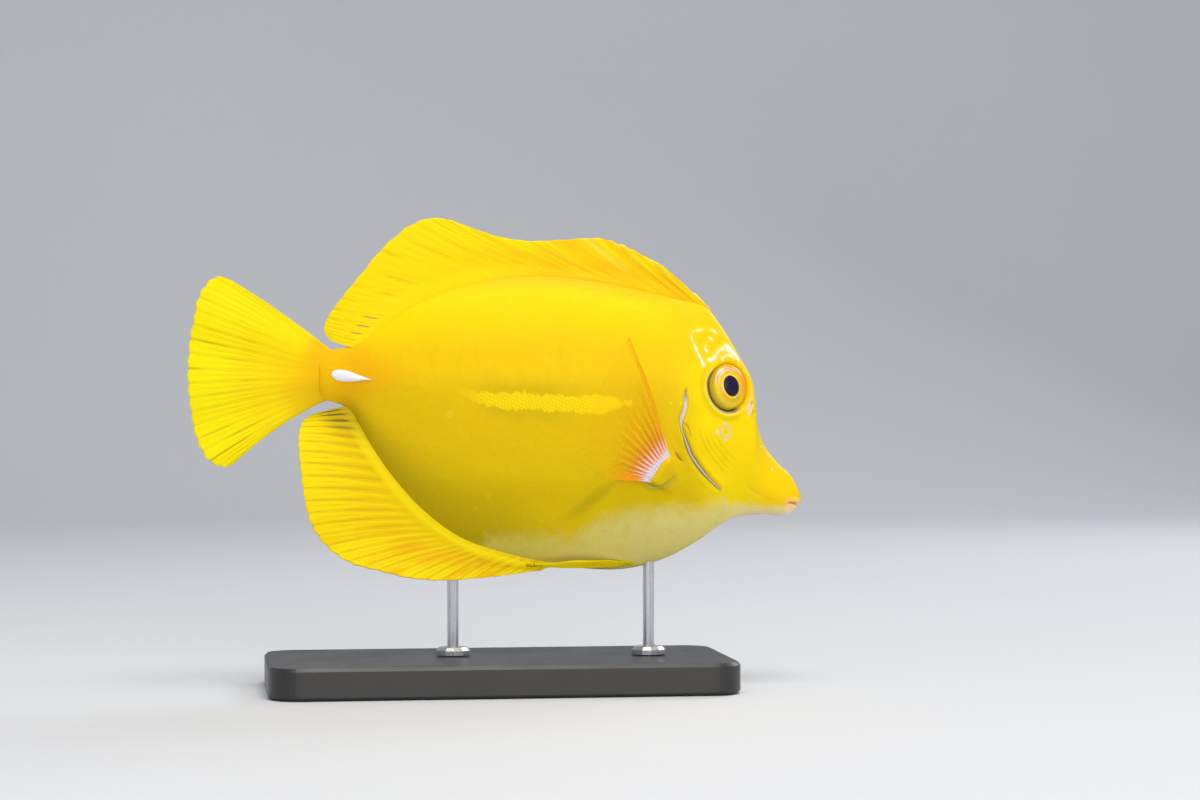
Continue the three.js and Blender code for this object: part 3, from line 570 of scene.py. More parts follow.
belly_ragged = stored(tree, "belly_in") + (mottle * 5.0 - 2.5) + (fleck * 5.0 - 2.5)
belly_tone = tint(fade(along, 0.0, 46.0), (0.7, 0.6, 0.1), (0.74, 0.65, 0.22))
belly_soft = fade(along, 52.0, 62.0, -1.6, -0.5)
belly = {"Value": belly_ragged, "From Min": belly_soft, "From Max": 4.5, "To Max": 0.9}
belly = Signal(put(tree, "ShaderNodeMapRange", belly, interpolation_type="SMOOTHSTEP").outputs[0])
belly_tone = tint(fade(cloud(spot, 300.0, 4.0), 0.5, 0.7, 0.0, 0.3), belly_tone, (0.62, 0.51, 0.08))
paint.lay(belly, belly_tone)
# Painted shadow of the pectoral fin: an olive streak down the lower flank under it.
pectoral_shadow = up * 1.1 + 58.4 - along
pectoral_shadow = fade(abs(pectoral_shadow + (mottle * 3.0 - 1.5)), 4.0, 0.2)
pectoral_shadow = pectoral_shadow * (fade(up, -26.0, -30.5, 0.0, 0.45) * fade(up, -39.0, -34.0))
paint.lay(pectoral_shadow, OLIVE)
chin = fade(belly_ragged, -0.8, 3.2) * fade(along, 56.0, 64.0, 0.0, 0.95)
paint.lay(chin, (0.84, 0.71, 0.26))
lavender_chin = fade(up, -34.6, -36.4) * fade(along, 60.0, 68.0, 0.0, 0.5)
paint.lay(lavender_chin, (0.66, 0.55, 0.52))

band = fade(band_ragged, -0.3, 0.5, 0.0, 0.85) * fade(along, -13.0, -2.0, 0.15, 1.0)
paint.lay(band, (0.99, 0.73, 0.002))
chevrons = fade(Signal(scales.outputs["Joint"]), 0.2, 0.9) * fade(band_ragged, -3.0, 0.8, 0.22, 0.75)
chevrons = chevrons * fade(abs(along - 6.0), 34.0, 12.0, 0.4, 1.0)
paint.lay(chevrons, (0.66, 0.45, 0.001))
paint.lay(fade(fleck, 0.58, 0.8, 0.0, 0.2), (0.99, 0.76, 0.01))

squiggle_off = stored(tree, "squiggle")
broken = squiggle_off + (cloud(spot, 620.0, 3.0) * 2.0 - 1.0) + (cloud(spot, 240.0, 1.0) * 3.0 - 1.5)
halo = fade(squiggle_off, 3.4, 1.2, 0.0, 0.35)
paint.lay(halo, (0.99, 0.74, 0.01))
paint.lay(fade(broken, 1.5, 0.4, 0.0, 0.75), (0.97, 0.82, 0.33))
paint.lay(fade(broken, 0.75, 0.1, 0.0, 0.85), (0.98, 0.88, 0.74))
patch_off = stored(tree, "bridle") + (cloud(spot, 500.0) * 1.6 - 0.8)
paint.lay(fade(patch_off, 1.1, 0.5, 0.0, 0.8), (0.84, 0.62, 0.5))


def round_mark(at_x, at_z, radius, width):
    """A ring drawn on the side of the fish: radius 0 makes it a spot."""
    off = (abs(along - at_x) ** 2.0 + abs(up - at_z) ** 2.0).sum_up("SQRT") + (fleck * 1.0 - 0.5)
    return fade(abs(off - radius), width, width * 0.3)


for at_x, at_z, radius, width, strength, tone in [
    (58.5, -14.5, 1.5, 0.7, 0.42, (0.66, 0.56, 0.38)), (58.2, -12.3, 0.0, 1.0, 0.4, (0.76, 0.66, 0.5)),
    (58.4, -16.4, 0.0, 0.9, 0.35, (0.84, 0.74, 0.45)), (56.2, -14.5, 0.0, 0.9, 0.4, (0.9, 0.78, 0.5)),
    # The three near-white spots on the snout are painted highlights.
    (70.8, -20.3, 0.0, 0.4, 0.9, (0.97, 0.9, 0.75)), (68.8, -18.4, 0.0, 0.4, 0.7, (0.97, 0.9, 0.75)),
    (71.7, -24.2, 0.0, 0.5, 0.8, (0.97, 0.85, 0.55)), (-13.4, -9.9, 0.0, 1.3, 0.4, (0.9, 0.7, 0.05)),
    (58.5, -14.5, 0.0, 0.9, 0.35, OCHRE),
]:
    paint.lay(round_mark(at_x, at_z, radius, width) * strength, tone)

gill_off_value = stored(tree, "gill_off")
gill_run_value = stored(tree, "gill_run")
gill_open = fade(gill_run_value, 0.12, 0.19) * fade(gill_run_value, 1.0, 0.96)
slit = abs(gill_off_value + 0.5)
thin_top = fade(abs(gill_run_value - 0.44), 0.0, 0.12, 0.45, 1.0)
thin_top = thin_top * fade(gill_run_value, 0.34, 0.44, 1.25, 0.9)
thin_end = thin_top * fade(gill_run_value, 1.0, 0.75, 0.35, 1.0)
slit = (slit + (fleck * 0.3 - 0.15)) / thin_end
shaded = fade(gill_off_value + 1.2, 2.2, 0.0, 0.0, 0.35)
shaded = shaded * fade(gill_off_value, -2.4, -0.6) * gill_open
paint.lay(shaded, (0.62, 0.46, 0.01))
# Painted shade in the gill slit: a dark line along its edge, a darker lining deep in its lower part, and an
# umber touch at its top end.
edge_tone = fade(gill_run_value, 0.3, 0.5, 0.12, 0.8)
slit_shade_line = fade(slit, 0.85, 0.55) * gill_open
paint.lay(slit_shade_line * edge_tone, (0.24, 0.18, 0.04))
membrane = fade(slit, 0.5, 0.25) * gill_open
lining_shade = fade(gill_off_value, -0.45, -0.7) * fade(gill_run_value, 0.36, 0.5, 0.0, 0.8)
lining = tint(fade(gill_run_value, 0.1, 0.2), (0.3, 0.23, 0.1), (0.7, 0.64, 0.6))
lining = tint(lining_shade, lining, (0.14, 0.11, 0.07))
paint.lay(membrane, lining)
top_end_shade = fade(abs(gill_off_value + 0.45), 0.4, 0.1) * fade(abs(gill_run_value - 0.16), 0.07, 0.02)
paint.lay(top_end_shade * 0.5, UMBER)
# The olive band along the crease under the pectoral lobe and the umber line in the small nick are painted
# shade in those creases.
for name, width, strength, end, tone in [
    ("crease_off", 1.5, 0.5, fade(along, 47.0, 42.0), OLIVE),
    ("crease_off", 0.3, 0.35, fade(along, 47.0, 42.0), (0.72, 0.62, 0.45)),
    ("nick_off", 0.45, 0.6, fade(along, 47.6, 46.2), UMBER),
    ("hook_off", 0.35, 0.55, fade(up, -16.6, -14.4), (0.25, 0.18, 0.03)),
]:
    line = fade(abs(stored(tree, name)), width, width * 0.2, 0.0, strength)
    paint.lay(line * end, tone)
folds = gill_off_value * (2 * math.pi / FOLD_PITCH) + mottle * 9.0
folds = fade(folds.sum_up("SINE"), 0.1, -1.0, 0.08, 0.34)
paint.lay(stored(tree, "cheek") * folds, OCHRE)
# Painted shade in the faint jaw crease.
paint.lay(stored(tree, "jaw_line") * 0.22, (0.72, 0.5, 0.06))

eye_reach = stored(tree, "eye_off")
eye_low_value = stored(tree, "eye_low")
behind_eye = fade(eye_low_value, 0.0, 0.45)
below_eye = fade(eye_low_value, 0.2, 0.5, 0.0, 0.4)
around_eye = fade(abs(eye_reach - 2.0), 1.2, 0.2)
paint.lay(around_eye * below_eye, OCHRE)
rim_pale = fade(abs(eye_reach - 0.95), 0.35, 0.1) * behind_eye
paint.lay(rim_pale * 0.14, (0.85, 0.72, 0.5))
# The socket groove: yellow in front, painted shade dark on its back and lower side, away from the light.
groove = fade(eye_reach, 0.62, 0.4)
shaded_wall = tint(behind_eye, (0.85, 0.56, 0.002), (0.09, 0.06, 0.03))
paint.lay(groove, shaded_wall)
inner = fade(abs(eye_reach - 0.24), 0.2, 0.06) * behind_eye * fade(eye_low_value, 0.3, 0.8, 0.3, 0.95)
paint.lay(inner, (0.6, 0.52, 0.6))

lip_side = stored(tree, "mouth_off")
lips = fade(abs(lip_side - 0.4), 2.6, 0.8) * fade(along, 74.0, 77.4)
paint.lay(lips * 0.75, (0.97, 0.55, 0.2))
low_lip = fade(up, -33.6, -34.4) * fade(along, 74.6, 76.6, 0.0, 0.75)
paint.lay(low_lip, (0.93, 0.72, 0.5))
# Painted shade in the gap between the lips.
mouth_shade = fade(abs(lip_side), 0.25, 0.05) * fade(along, 75.6, 77.4)
paint.lay(mouth_shade * 0.6, (0.5, 0.22, 0.1))
feed(shader, "Base Color", paint.tone)
feed(shader, "Roughness", fleck * 0.2 + 0.36)
feed(shader, "Specular IOR Level", 0.2)
feed(shader, "Specular Tint", (1.0, 0.84, 0.4, 1.0))
feed(shader, "Subsurface Weight", 0.1)
feed(shader, "Subsurface Radius", (0.0014, 0.0009, 0.0002))
feed(shader, "Subsurface Scale", 1.0)
relief = Signal(scales.outputs["Height"]) * fade(along, 58.0, 44.0, 0.15, 1.0) + fleck * 0.8
fine_cut = fade(slit, 0.8, 0.2) * gill_open + fade(abs(lip_side), 0.3, 0.05)
raised = fade(squiggle_off, 1.4, 0.3)
relief = relief + (raised - fine_cut) * 2.0
emboss(shader, relief, 0.5, 0.00013)
skin.data.materials.clear()
skin.data.materials.append(hide)
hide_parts("head", "snout", "lower_jaw", "torso", "tail_stem")
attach(skin, "root")

# Eyes: a flattened ball in each socket, with a domed pupil of its own. The iris is golden with
# a lavender arc over the pupil, and the whole ball carries the clear gloss of the cornea.
EYE_DEPTH = 3.4
EYE_SUNK = 1.7
PUPIL_WIDE = 2.2
PUPIL_TALL = 2.75
PUPIL_DOME = 0.6
PUPIL_SUNK = EYE_SUNK - EYE_DEPTH + 0.45
PUPIL_TILT = math.radians(12)

iris, tree, shader, spot = new_finish("golden iris")
threads = cloud(spot, 520.0, 4.0)
ripple = threads * 0.24 - 0.12
ball_off = stored(tree, "ball_off") + ripple
pupil_off = stored(tree, "pupil_off") + ripple
forward, raised = stored(tree, "forward"), stored(tree, "raised")
clean_off = stored(tree, "pupil_off")
paint = Paint((0.93, 0.6, 0.002))
paint.lay(fade(ball_off, 0.55, 0.8), (0.9, 0.62, 0.001))
paint.lay(fade(raised, 0.2, -0.8, 0.0, 0.4), (0.75, 0.55, 0.002))
amber_side = fade(forward + raised, -0.1, 0.7) * fade(pupil_off, 1.35, 1.6) * fade(ball_off, 1.0, 0.84)
paint.lay(amber_side * 0.85, (0.95, 0.36, 0.001))
rust = fade(abs(pupil_off - 1.42), 0.22, 0.0) * fade(forward * 0.6 + raised, 0.1, -0.4)
paint.lay(rust * 0.65, (0.88, 0.32, 0.002))


def arc(radius, width):
    """A thin ring of the iris that is seen over the pupil and fades out below it."""
    return fade(abs(pupil_off - radius), width, width * 0.3) * fade(raised - forward * 0.5, 0.4, 0.75)


for radius, width, strength, tone in [
    (1.36, 0.09, 0.6, (0.5, 0.28, 0.02)), (1.52, 0.12, 0.75, (0.86, 0.55, 0.42)),
    (1.66, 0.07, 0.65, (0.55, 0.26, 0.02)), (1.8, 0.12, 0.8, (0.88, 0.6, 0.5)),
    (1.95, 0.07, 0.5, (0.6, 0.26, 0.01)),
]:
    paint.lay(arc(radius, width) * strength, tone)
paint.lay(fade(abs(pupil_off - 1.27), 0.07, 0.02, 0.0, 0.6), (0.6, 0.34, 0.003))
paint.lay(fade(abs(clean_off - 1.13), 0.1, 0.05), (0.97, 0.66, 0.01))
# Painted shade: olive along the ball's back and lower edge.
back_edge_shade = fade(stored(tree, "ball_off"), 0.8, 0.97, 0.0, 0.75) * fade(forward + raised * 0.5, 0.3, -0.5)
paint.lay(back_edge_shade, (0.42, 0.31, 0.01))
paint.lay(fade(clean_off, 1.05, 0.98), (0.02, 0.012, 0.02))
feed(shader, "Base Color", paint.tone)
feed(shader, "Roughness", threads * 0.15 + 0.28)
feed(shader, "Specular IOR Level", 0.3)
feed(shader, "Coat Weight", 0.35)
feed(shader, "Coat Roughness", 0.08)
rings = (pupil_off * 21.0).sum_up("SINE")
rings = rings * fade(raised - forward, -0.4, 0.6, 0.15, 0.5)
emboss(shader, threads + rings, 0.3, 0.0001)

dark, tree, shader, spot = new_finish("navy black pupil")
haze = cloud(spot, 500.0)
feed(shader, "Base Color", tint(haze, (0.006, 0.004, 0.022), (0.022, 0.014, 0.06)))
feed(shader, "Roughness", haze * 0.1 + 0.2)
feed(shader, "Specular IOR Level", 0.25)


def eye_ball(name, side, half_sizes, sunk, rings, segments, further_ahead=0.0, tilt=0.0):
    """A flattened ball on the eye's axis, which keeps how far each point is from its middle."""
    clear_selection()
    bpy.ops.mesh.primitive_uv_sphere_add(segments=segments, ring_count=rings, radius=1)
    piece = bpy.context.object
    piece.name = name
    axis = eye_axis(side)
    across = Vector((0, 0, 1)).cross(axis).normalized()
    upward = axis.cross(across)
    sized = get_points(piece) * np.array(half_sizes)
    turned = sized @ np.array(Matrix.Rotation(-side * tilt, 3, "Z")).T
    centre = np.array((EYE_AT.x, -side * EYE_AT.y, EYE_AT.z)) - np.array(axis) * sunk
    centre = centre - np.array(across) * side * further_ahead
    points = centre + turned @ np.array([across, upward, axis])
    ahead = turned[:, 0] * -side
    keep_value(piece, "forward", ahead / EYE_WIDE)
    keep_value(piece, "raised", turned[:, 1] / EYE_TALL)
    keep_value(piece, "ball_off", np.hypot(ahead / EYE_WIDE, turned[:, 1] / EYE_TALL))
    from_pupil = ahead + further_ahead
    pupil_x = from_pupil * math.cos(PUPIL_TILT) + turned[:, 1] * math.sin(PUPIL_TILT)
    pupil_z = turned[:, 1] * math.cos(PUPIL_TILT) - from_pupil * math.sin(PUPIL_TILT)
    keep_value(piece, "pupil_off", np.hypot(pupil_x / PUPIL_WIDE, pupil_z / PUPIL_TALL))
    set_points(piece, to_room(points))
    face_outward(piece)
    smooth_faces(piece)
    return piece


for side, word in ((-1, "right"), (1, "left")):
    eye = eye_ball(f"eye_ball_{word}", side, (EYE_WIDE, EYE_TALL, EYE_DEPTH), EYE_SUNK, 120, 128, EYE_AHEAD)
    eye.data.materials.append(iris)
    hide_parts(f"eye_{word}")
    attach(eye, "root")
    pupil_sizes = (PUPIL_WIDE, PUPIL_TALL, PUPIL_DOME)
    pupil = eye_ball(f"pupil_dome_{word}", side, pupil_sizes, PUPIL_SUNK, 24, 64, tilt=PUPIL_TILT)
    pupil.data.materials.append(dark)
    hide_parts(f"pupil_{word}")
    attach(pupil, "root")

# Unpaired fins: dorsal, anal and tail fin. Each is a thin membrane on bony rays that branch
# towards the edge, held in a scaly sheath at its root. A flat sheet is laid over the guide rays,
# then given its thickness, thickest on the rays.
DORSAL_GUIDES = [
    [53.3, 51.8, 21.2], [52.8, 43.7, 28.4], [51.4, 37.4, 32.0], [49.4, 31.6, 34.7],
    [46.6, 26.0, 36.2], [38.6, 17.0, 35.7], [30.6, 7.9, 35.3], [24.8, -0.4, 36.4],
    [20.4, -8.0, 38.8], [15.6, -15.3, 41.0], [9.0, -22.2, 39.6], [-2.5, -29.8, 33.6],
    [-16.5, -36.6, 25.4], [-25.6, -41.4, 19.4], [-31.0, -44.4, 15.0], [-35.0, -45.2, 11.6],
    [-38.4, -43.4, 9.2],
]
ANAL_GUIDES = [
    [15.0, 11.0, -50.4], [10.6, 3.6, -51.6], [4.6, -4.9, -52.4], [-0.5, -13.5, -52.9],
    [-4.0, -22.7, -52.3], [-7.2, -31.1, -50.3], [-10.5, -39.0, -48.0], [-14.2, -45.0, -43.7],
    [-18.4, -48.7, -38.2], [-22.6, -50.5, -31.7], [-27.4, -51.3, -25.0], [-31.6, -51.9, -18.5],
    [-34.8, -51.6, -14.2], [-37.2, -50.4, -11.4], [-39.6, -47.8, -9.8],
]
CAUDAL_TIPS = [
    [-69.2, 24.8], [-72.8, 25.6], [-75.9, 23.0], [-77.8, 19.2], [-78.6, 14.6], [-79.6, 9.9],
    [-80.0, 4.9], [-80.2, 0.0], [-79.9, -4.9], [-79.3, -9.6], [-78.5, -14.2], [-77.0, -18.4],
    [-74.7, -21.9], [-71.4, -23.5], [-68.6, -22.8],
]
FIN_SUNK = 4.0
ANAL_LEAN = 2.6
PLEATS = 11


def edge_fin_sheet(guides, edge, bow, sway):
    """Points of a fin that stands on the back line or hangs from the keel line."""
    line_place = np.linspace(0, len(RIBS) - 3, 2000)
    line = through(RIBS, line_place)

    def sheet(along, across):
        root_x, tip_x, tip_z = through(guides, across * (len(guides) - 1)).T
        root_z = np.interp(root_x, line[:, edge], line[:, edge + 1])
        length = np.hypot(tip_x - root_x, tip_z - root_z)
        dx, dz = (tip_x - root_x) / length, (tip_z - root_z) / length
        reach = mix(-FIN_SUNK, length, along)
        arch = bow * length * 4 * along * (1 - along)
        px = root_x + dx * reach - dz * arch
        pz = root_z + dz * reach + dx * arch
        return np.stack([px, sway(along, across), pz], 1), reach

    return sheet


def dorsal_sway(along, across):
    phase = across * 2 * np.pi * PLEATS
    pleat = np.sin(phase + 0.7 * np.sin(phase)) * smooth(0.5, 0.1, across)
    return along * (0.65 * pleat + 1.1 * np.sin(across * 7) * smooth(0.2, 0.6, across))


def anal_sway(along, across):
    lean = ANAL_LEAN * np.sin(np.pi * np.minimum(across * 1.1, 1)) * along * along
    return 0.35 * along * np.sin(across * 16) - lean


def caudal_sheet(along, across):
    tip_x, tip_z = through(CAUDAL_TIPS, across * (len(CAUDAL_TIPS) - 1)).T
    root_x = TAIL_ROOT_X + 1.4 * (2 * across - 1) ** 2
    root_z = mix(5.0, -5.0, across)
    flare = mix(0.7, 2.2, across) * (2 * across - 1) ** 2 * np.sin(np.pi * along)
    sway = 1.2 * along * along + 0.3 * along * np.sin(across * 20)
    points = np.stack([mix(root_x, tip_x, along), sway, mix(root_z, tip_z, along) + flare], 1)
    return points, mix(-4.0, 34.0, along)


def ray_ridges(phase, along, split):
    """Height of a ray over its membrane, from 0 to 1, as it forks twice towards the edge."""
    centre = phase - np.round(phase)
    fork = 0.2 * smooth(split, split + 0.35, along)
    twig = 0.09 * smooth(split + 0.3, 1.0, along)
    width = mix(0.17, 0.07, smooth(0.0, 0.9, along))
    ridge = np.zeros(len(phase))
    for a in (-1, 1):
        for b in (-1, 1):
            ridge = np.maximum(ridge, bell(centre - a * fork - b * twig, width))
    return ridge


def fin_blade(name, sheet, rays, rows, per_ray, thickness_at, notch, split=0.45, flutter=0.12):
    """A fin from its sheet: a flat grid laid over it, then made solid with its rays raised."""
    columns = (rays - 1) * per_ray + 1
    clear_selection()
    bpy.ops.mesh.primitive_grid_add(x_subdivisions=columns - 1, y_subdivisions=rows, size=2)
    blade = bpy.context.object
    blade.name = name
    flat = get_points(blade)
    across, out = (flat[:, 0] + 1) / 2, (flat[:, 1] + 1) / 2
    phase = across * (rays - 1)
    between = 2 * np.abs(phase - np.round(phase))
    along = out * (1 - notch(across) * between**0.8 * out**3)
    points, reach = sheet(along, across)
    wave = [noise.noise(Vector((3.1 * p, 2.2 * q, 0.7))) for p, q in zip(phase * 0.35, along)]
    points[:, 1] += flutter * along * np.array(wave)
    ridge = ray_ridges(phase, along, split)
    thickness = thickness_at(along, reach, ridge, across)
    set_points(blade, to_room(points))
    blade.data.uv_layers[0].name = "fin"
    keep_value(blade, "ridge", ridge)
    keep_value(blade, "out", along)
    keep_value(blade, "across", across)
    keep_value(blade, "reach", reach)
    keep_value(blade, "ray_place", phase)
    group = blade.vertex_groups.new(name="thickness")
    greatest = thickness.max()
    for level in range(1, 65):
        picked = np.flatnonzero(np.ceil(thickness / greatest * 64).astype(int) == level)
        if len(picked):
            group.add([int(i) for i in picked], level / 64, "REPLACE")
    solid = blade.modifiers.new("thickness", "SOLIDIFY")
    solid.thickness = greatest * MM
    solid.offset = 0
    solid.vertex_group = "thickness"
    solid.use_rim = True
    bpy.ops.object.modifier_apply(modifier="thickness")
    face_outward(blade)
    smooth_faces(blade)
    return blade


def ray_streaks(place, out, depth, seed, rare=0.38):
    """Dark lines midway between the rays, each of its own length and strength."""
    half_way = abs(place.sum_up("FRACT") - 0.5)
    thin = fade(half_way, depth, depth * 0.2)
    own = joined(place.sum_up("FLOOR") * 1.37, out * 2.4, seed)
    return thin * fade(cloud(own, 1.0, 1.0), rare, rare + 0.22)


def fin_finish(name, tones, streak_start, streak_end, streak_strength, seed, rare=0.38, hollow_strength=0.12):
    """Membrane over rays: tones are for the root, the middle, the edge and the streaks."""
    finish, tree, shader, spot = new_finish(name)
    out, ridge, across = stored(tree, "out"), stored(tree, "ridge"), stored(tree, "across")
    place, reach = stored(tree, "ray_place"), stored(tree, "reach")
    root_tone, middle_tone, edge_tone, streak_tone = tones
    patches = cloud(spot, 70.0, 3.0)
    drifting = out + (patches * 0.3 - 0.15)
    paint = Paint(root_tone)
    paint.lay(fade(drifting, 0.1, 0.45), middle_tone)
    paint.lay(fade(drifting, 0.5, 0.8), edge_tone)
    streaks = ray_streaks(place, out, 0.13, seed, rare) * fade(out, streak_start, streak_start + 0.15)
    streaks = streaks * fade(out, streak_end + 0.1, streak_end, 0.0, streak_strength)
    paint.lay(streaks, streak_tone)
    hollow = fade(ridge, 0.3, 0.0, 0.0, hollow_strength) * fade(out, 0.1, 0.4)
    paint.lay(hollow, streak_tone)
    feed(shader, "Roughness", patches * 0.2 + 0.42)
    fibres = cloud(joined(place * 6.0, out * 5.0), 1.0, 3.0) * fade(out, 0.2, 0.6, 0.25, 1.0)
    relief = fibres - streaks * 1.2
    emboss(shader, relief, 0.3, 0.0002)
    feed(shader, "Specular IOR Level", 0.2)
    feed(shader, "Specular Tint", (1.0, 0.84, 0.4, 1.0))
    feed(shader, "Subsurface Weight", 0.25)
    feed(shader, "Subsurface Radius", (0.002, 0.0013, 0.0002))
    feed(shader, "Subsurface Scale", 1.0)
    return finish, tree, shader, paint


LEMON_EDGE = (0.98, 0.72, 0.001)

dorsal_finish, tree, shader, paint = fin_finish(
    "dorsal fin membrane", ((0.98, 0.52, 0.0008), (0.98, 0.59, 0.0008), LEMON_EDGE, (0.7, 0.46, 0.002)),
    streak_start=0.45, streak_end=0.95, streak_strength=0.45, seed=3.0)
out, across, place = stored(tree, "out"), stored(tree, "across"), stored(tree, "ray_place")
folds = cloud(joined(across * 11.0, out * 1.1), 1.0, 1.0)
front = fade(across, 0.62, 0.4) * fade(folds, 0.4, 0.62, 0.0, 0.7)
paint.lay(front, (0.98, 0.5, 0.001))
wave = across * (2 * math.pi * PLEATS) + folds * 3.0
wave = wave.sum_up("SINE")
pleated = fade(across, 0.42, 0.2)
# Painted shade in the hollows of the front pleats, and a painted highlight along their crests.
paint.lay(pleated * fade(wave, 0.0, -0.9, 0.0, 0.75), (0.98, 0.48, 0.001))
crest_highlight = pleated * fade(wave, 0.45, 0.95, 0.0, 0.8)
paint.lay(crest_highlight * fade(out, 0.3, 0.8), (1.0, 0.84, 0.06))
rear = fade(across, 0.5, 0.75)
paint.lay(rear * fade(out, -0.05, 0.14, 0.0, 0.85), (0.98, 0.71, 0.001))
paint.lay(ray_streaks(place, out, 0.14, 3.0) * (rear * fade(out, 0.35, 0.6, 0.0, 0.35)), (0.68, 0.46, 0.002))
slits = fade(abs(place.sum_up("FRACT") - 0.5), 0.13, 0.04) * fade(abs(across - 0.885), 0.08, 0.03)
slits = slits * fade(abs(out - 0.47), 0.13, 0.05)
paint.lay(slits * 0.8, (0.36, 0.25, 0.1))
feed(shader, "Base Color", paint.tone)

anal_finish, tree, shader, paint = fin_finish(
    "anal fin membrane", ((0.97, 0.7, 0.0008), (0.96, 0.64, 0.0008), (0.97, 0.7, 0.001), (0.6, 0.4, 0.002)),
    streak_start=0.12, streak_end=0.88, streak_strength=0.42, seed=7.0, hollow_strength=0.34)
out, across, place, reach = (stored(tree, name) for name in ("out", "across", "ray_place", "reach"))
low_part = fade(across, 0.62, 0.4) * fade(out, 0.25, 0.5)
glow = cloud(joined(across * 16.0, out * 1.5), 1.0, 2.0)
paint.lay(low_part * fade(glow, 0.42, 0.65, 0.0, 0.7), (0.86, 0.42, 0.001))
sheath = fade(abs(reach - 2.0), 2.0, 1.0, 0.0, 0.8)
paint.lay(sheath * fade(across, 0.95, 0.85), (0.99, 0.74, 0.002))
# Painted shadow of the tail stem on the fin's top rear, with dark slits between the rays painted into that
# shade.
stem_shadow = fade(across, 0.8, 0.93) * fade(reach, 11.0, 5.0)
paint.lay(stem_shadow * 0.5, (0.36, 0.28, 0.01))
slits_in_shadow = fade(abs(place.sum_up("FRACT") - 0.5), 0.24, 0.06)
slits_in_shadow = slits_in_shadow * stem_shadow * fade(reach, 1.0, 3.0, 0.0, 0.75)
paint.lay(slits_in_shadow, (0.08, 0.06, 0.03))
feed(shader, "Base Color", paint.tone)

caudal_finish, tree, shader, paint = fin_finish(
    "tail fin membrane", (STEM_END, (0.95, 0.68, 0.0008), (0.98, 0.77, 0.0008), (0.42, 0.3, 0.003)),
    streak_start=0.46, streak_end=0.97, streak_strength=0.65, seed=5.0, rare=0.47)
out, across = stored(tree, "out"), stored(tree, "across")
low_root = fade(across, 0.5, 0.8) * fade(out, 0.45, 0.1, 0.0, 0.6)
paint.lay(low_root, (0.62, 0.44, 0.002))
paint.lay(fade(across, 0.4, 0.15) * fade(out, 0.15, 0.3, 0.0, 0.7), (0.98, 0.76, 0.001))
feed(shader, "Base Color", paint.tone)


def dorsal_notch(across):
    return mix(0.02, 0.01, smooth(0.22, 0.3, across))


def dorsal_thickness(along, reach, ridge, across):
    fin = mix(2.1, MEMBRANE, smooth(-1.0, 9.0, reach))
    return fin + ridge * mix(0.05, 0.14, smooth(0.1, 0.5, along))


def anal_thickness(along, reach, ridge, across):
    fin = mix(1.7, MEMBRANE, smooth(-1.0, 8.0, reach)) + 0.4 * bell(reach - 2.2, 1.6)
    return fin + ridge * mix(0.0, 0.17, smooth(0.15, 0.5, along))


def caudal_thickness(along, reach, ridge, across):
    return tail_root_thickness(along, across) + ridge * mix(0.0, 0.14, smooth(0.3, 0.6, along))


dorsal_sheet = edge_fin_sheet(DORSAL_GUIDES, 0, 0.035, dorsal_sway)
anal_sheet = edge_fin_sheet(ANAL_GUIDES, 2, -0.03, anal_sway)
for name, node, sheet, rays, thickness_at, per_ray, notch, split, finish in [
    ("dorsal_blade", "dorsal_fin", dorsal_sheet, 29, dorsal_thickness, 12, dorsal_notch, 0.45, dorsal_finish),
    ("anal_blade", "anal_fin", anal_sheet, 30, anal_thickness, 10, lambda s: 0.012, 0.4, anal_finish),
    ("tail_blade", "caudal_fin", caudal_sheet, 19, caudal_thickness, 16, lambda s: 0.012, 0.3, caudal_finish),
]:
    blade = fin_blade(name, sheet, rays, 90, per_ray, thickness_at, notch, split)
    blade.data.materials.append(finish)
    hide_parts(node)
    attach(blade, "root")

# Pectoral fins: a fan of fine rays on a fleshy lobe behind each gill cover. Here the membrane
# is nearly clear, and the rays run from white at the root through orange to yellow.
LOBE_OUT = 10.5
FAN_SPREAD = 8.7
PECTORAL_GUIDES = [
    [42.7, -19.4, 31.3, 10.1], [42.1, -20.4, 28.5, 6.0], [41.3, -21.5, 26.0, 1.4],
    [40.5, -22.4, 23.9, -3.9], [39.5, -23.4, 22.2, -9.4], [38.5, -24.4, 21.2, -14.8],
    [37.7, -25.5, 21.0, -19.8], [37.2, -26.3, 22.3, -23.6], [37.0, -27.2, 25.6, -26.6],
]


def pectoral_sheet(side):
    def sheet(along, across):
        root_x, root_z, tip_x, tip_z = through(PECTORAL_GUIDES, across * (len(PECTORAL_GUIDES) - 1)).T
        length = np.hypot(tip_x - root_x, tip_z - root_z)
        share = mix(-3.0 / length, 1, along)
        reach = np.maximum(share, 0)
        arch = 0.03 * length * np.sin(np.pi * reach) * (1 - across)
        out = LOBE_OUT + FAN_SPREAD * reach**1.25 * mix(1, 0.7, across)
        inward = np.minimum(share, 0) * 8
        px, pz = mix(root_x, tip_x, share) + arch, mix(root_z, tip_z, share)
        return np.stack([px, side * (out + inward), pz], 1), share * length

    return sheet


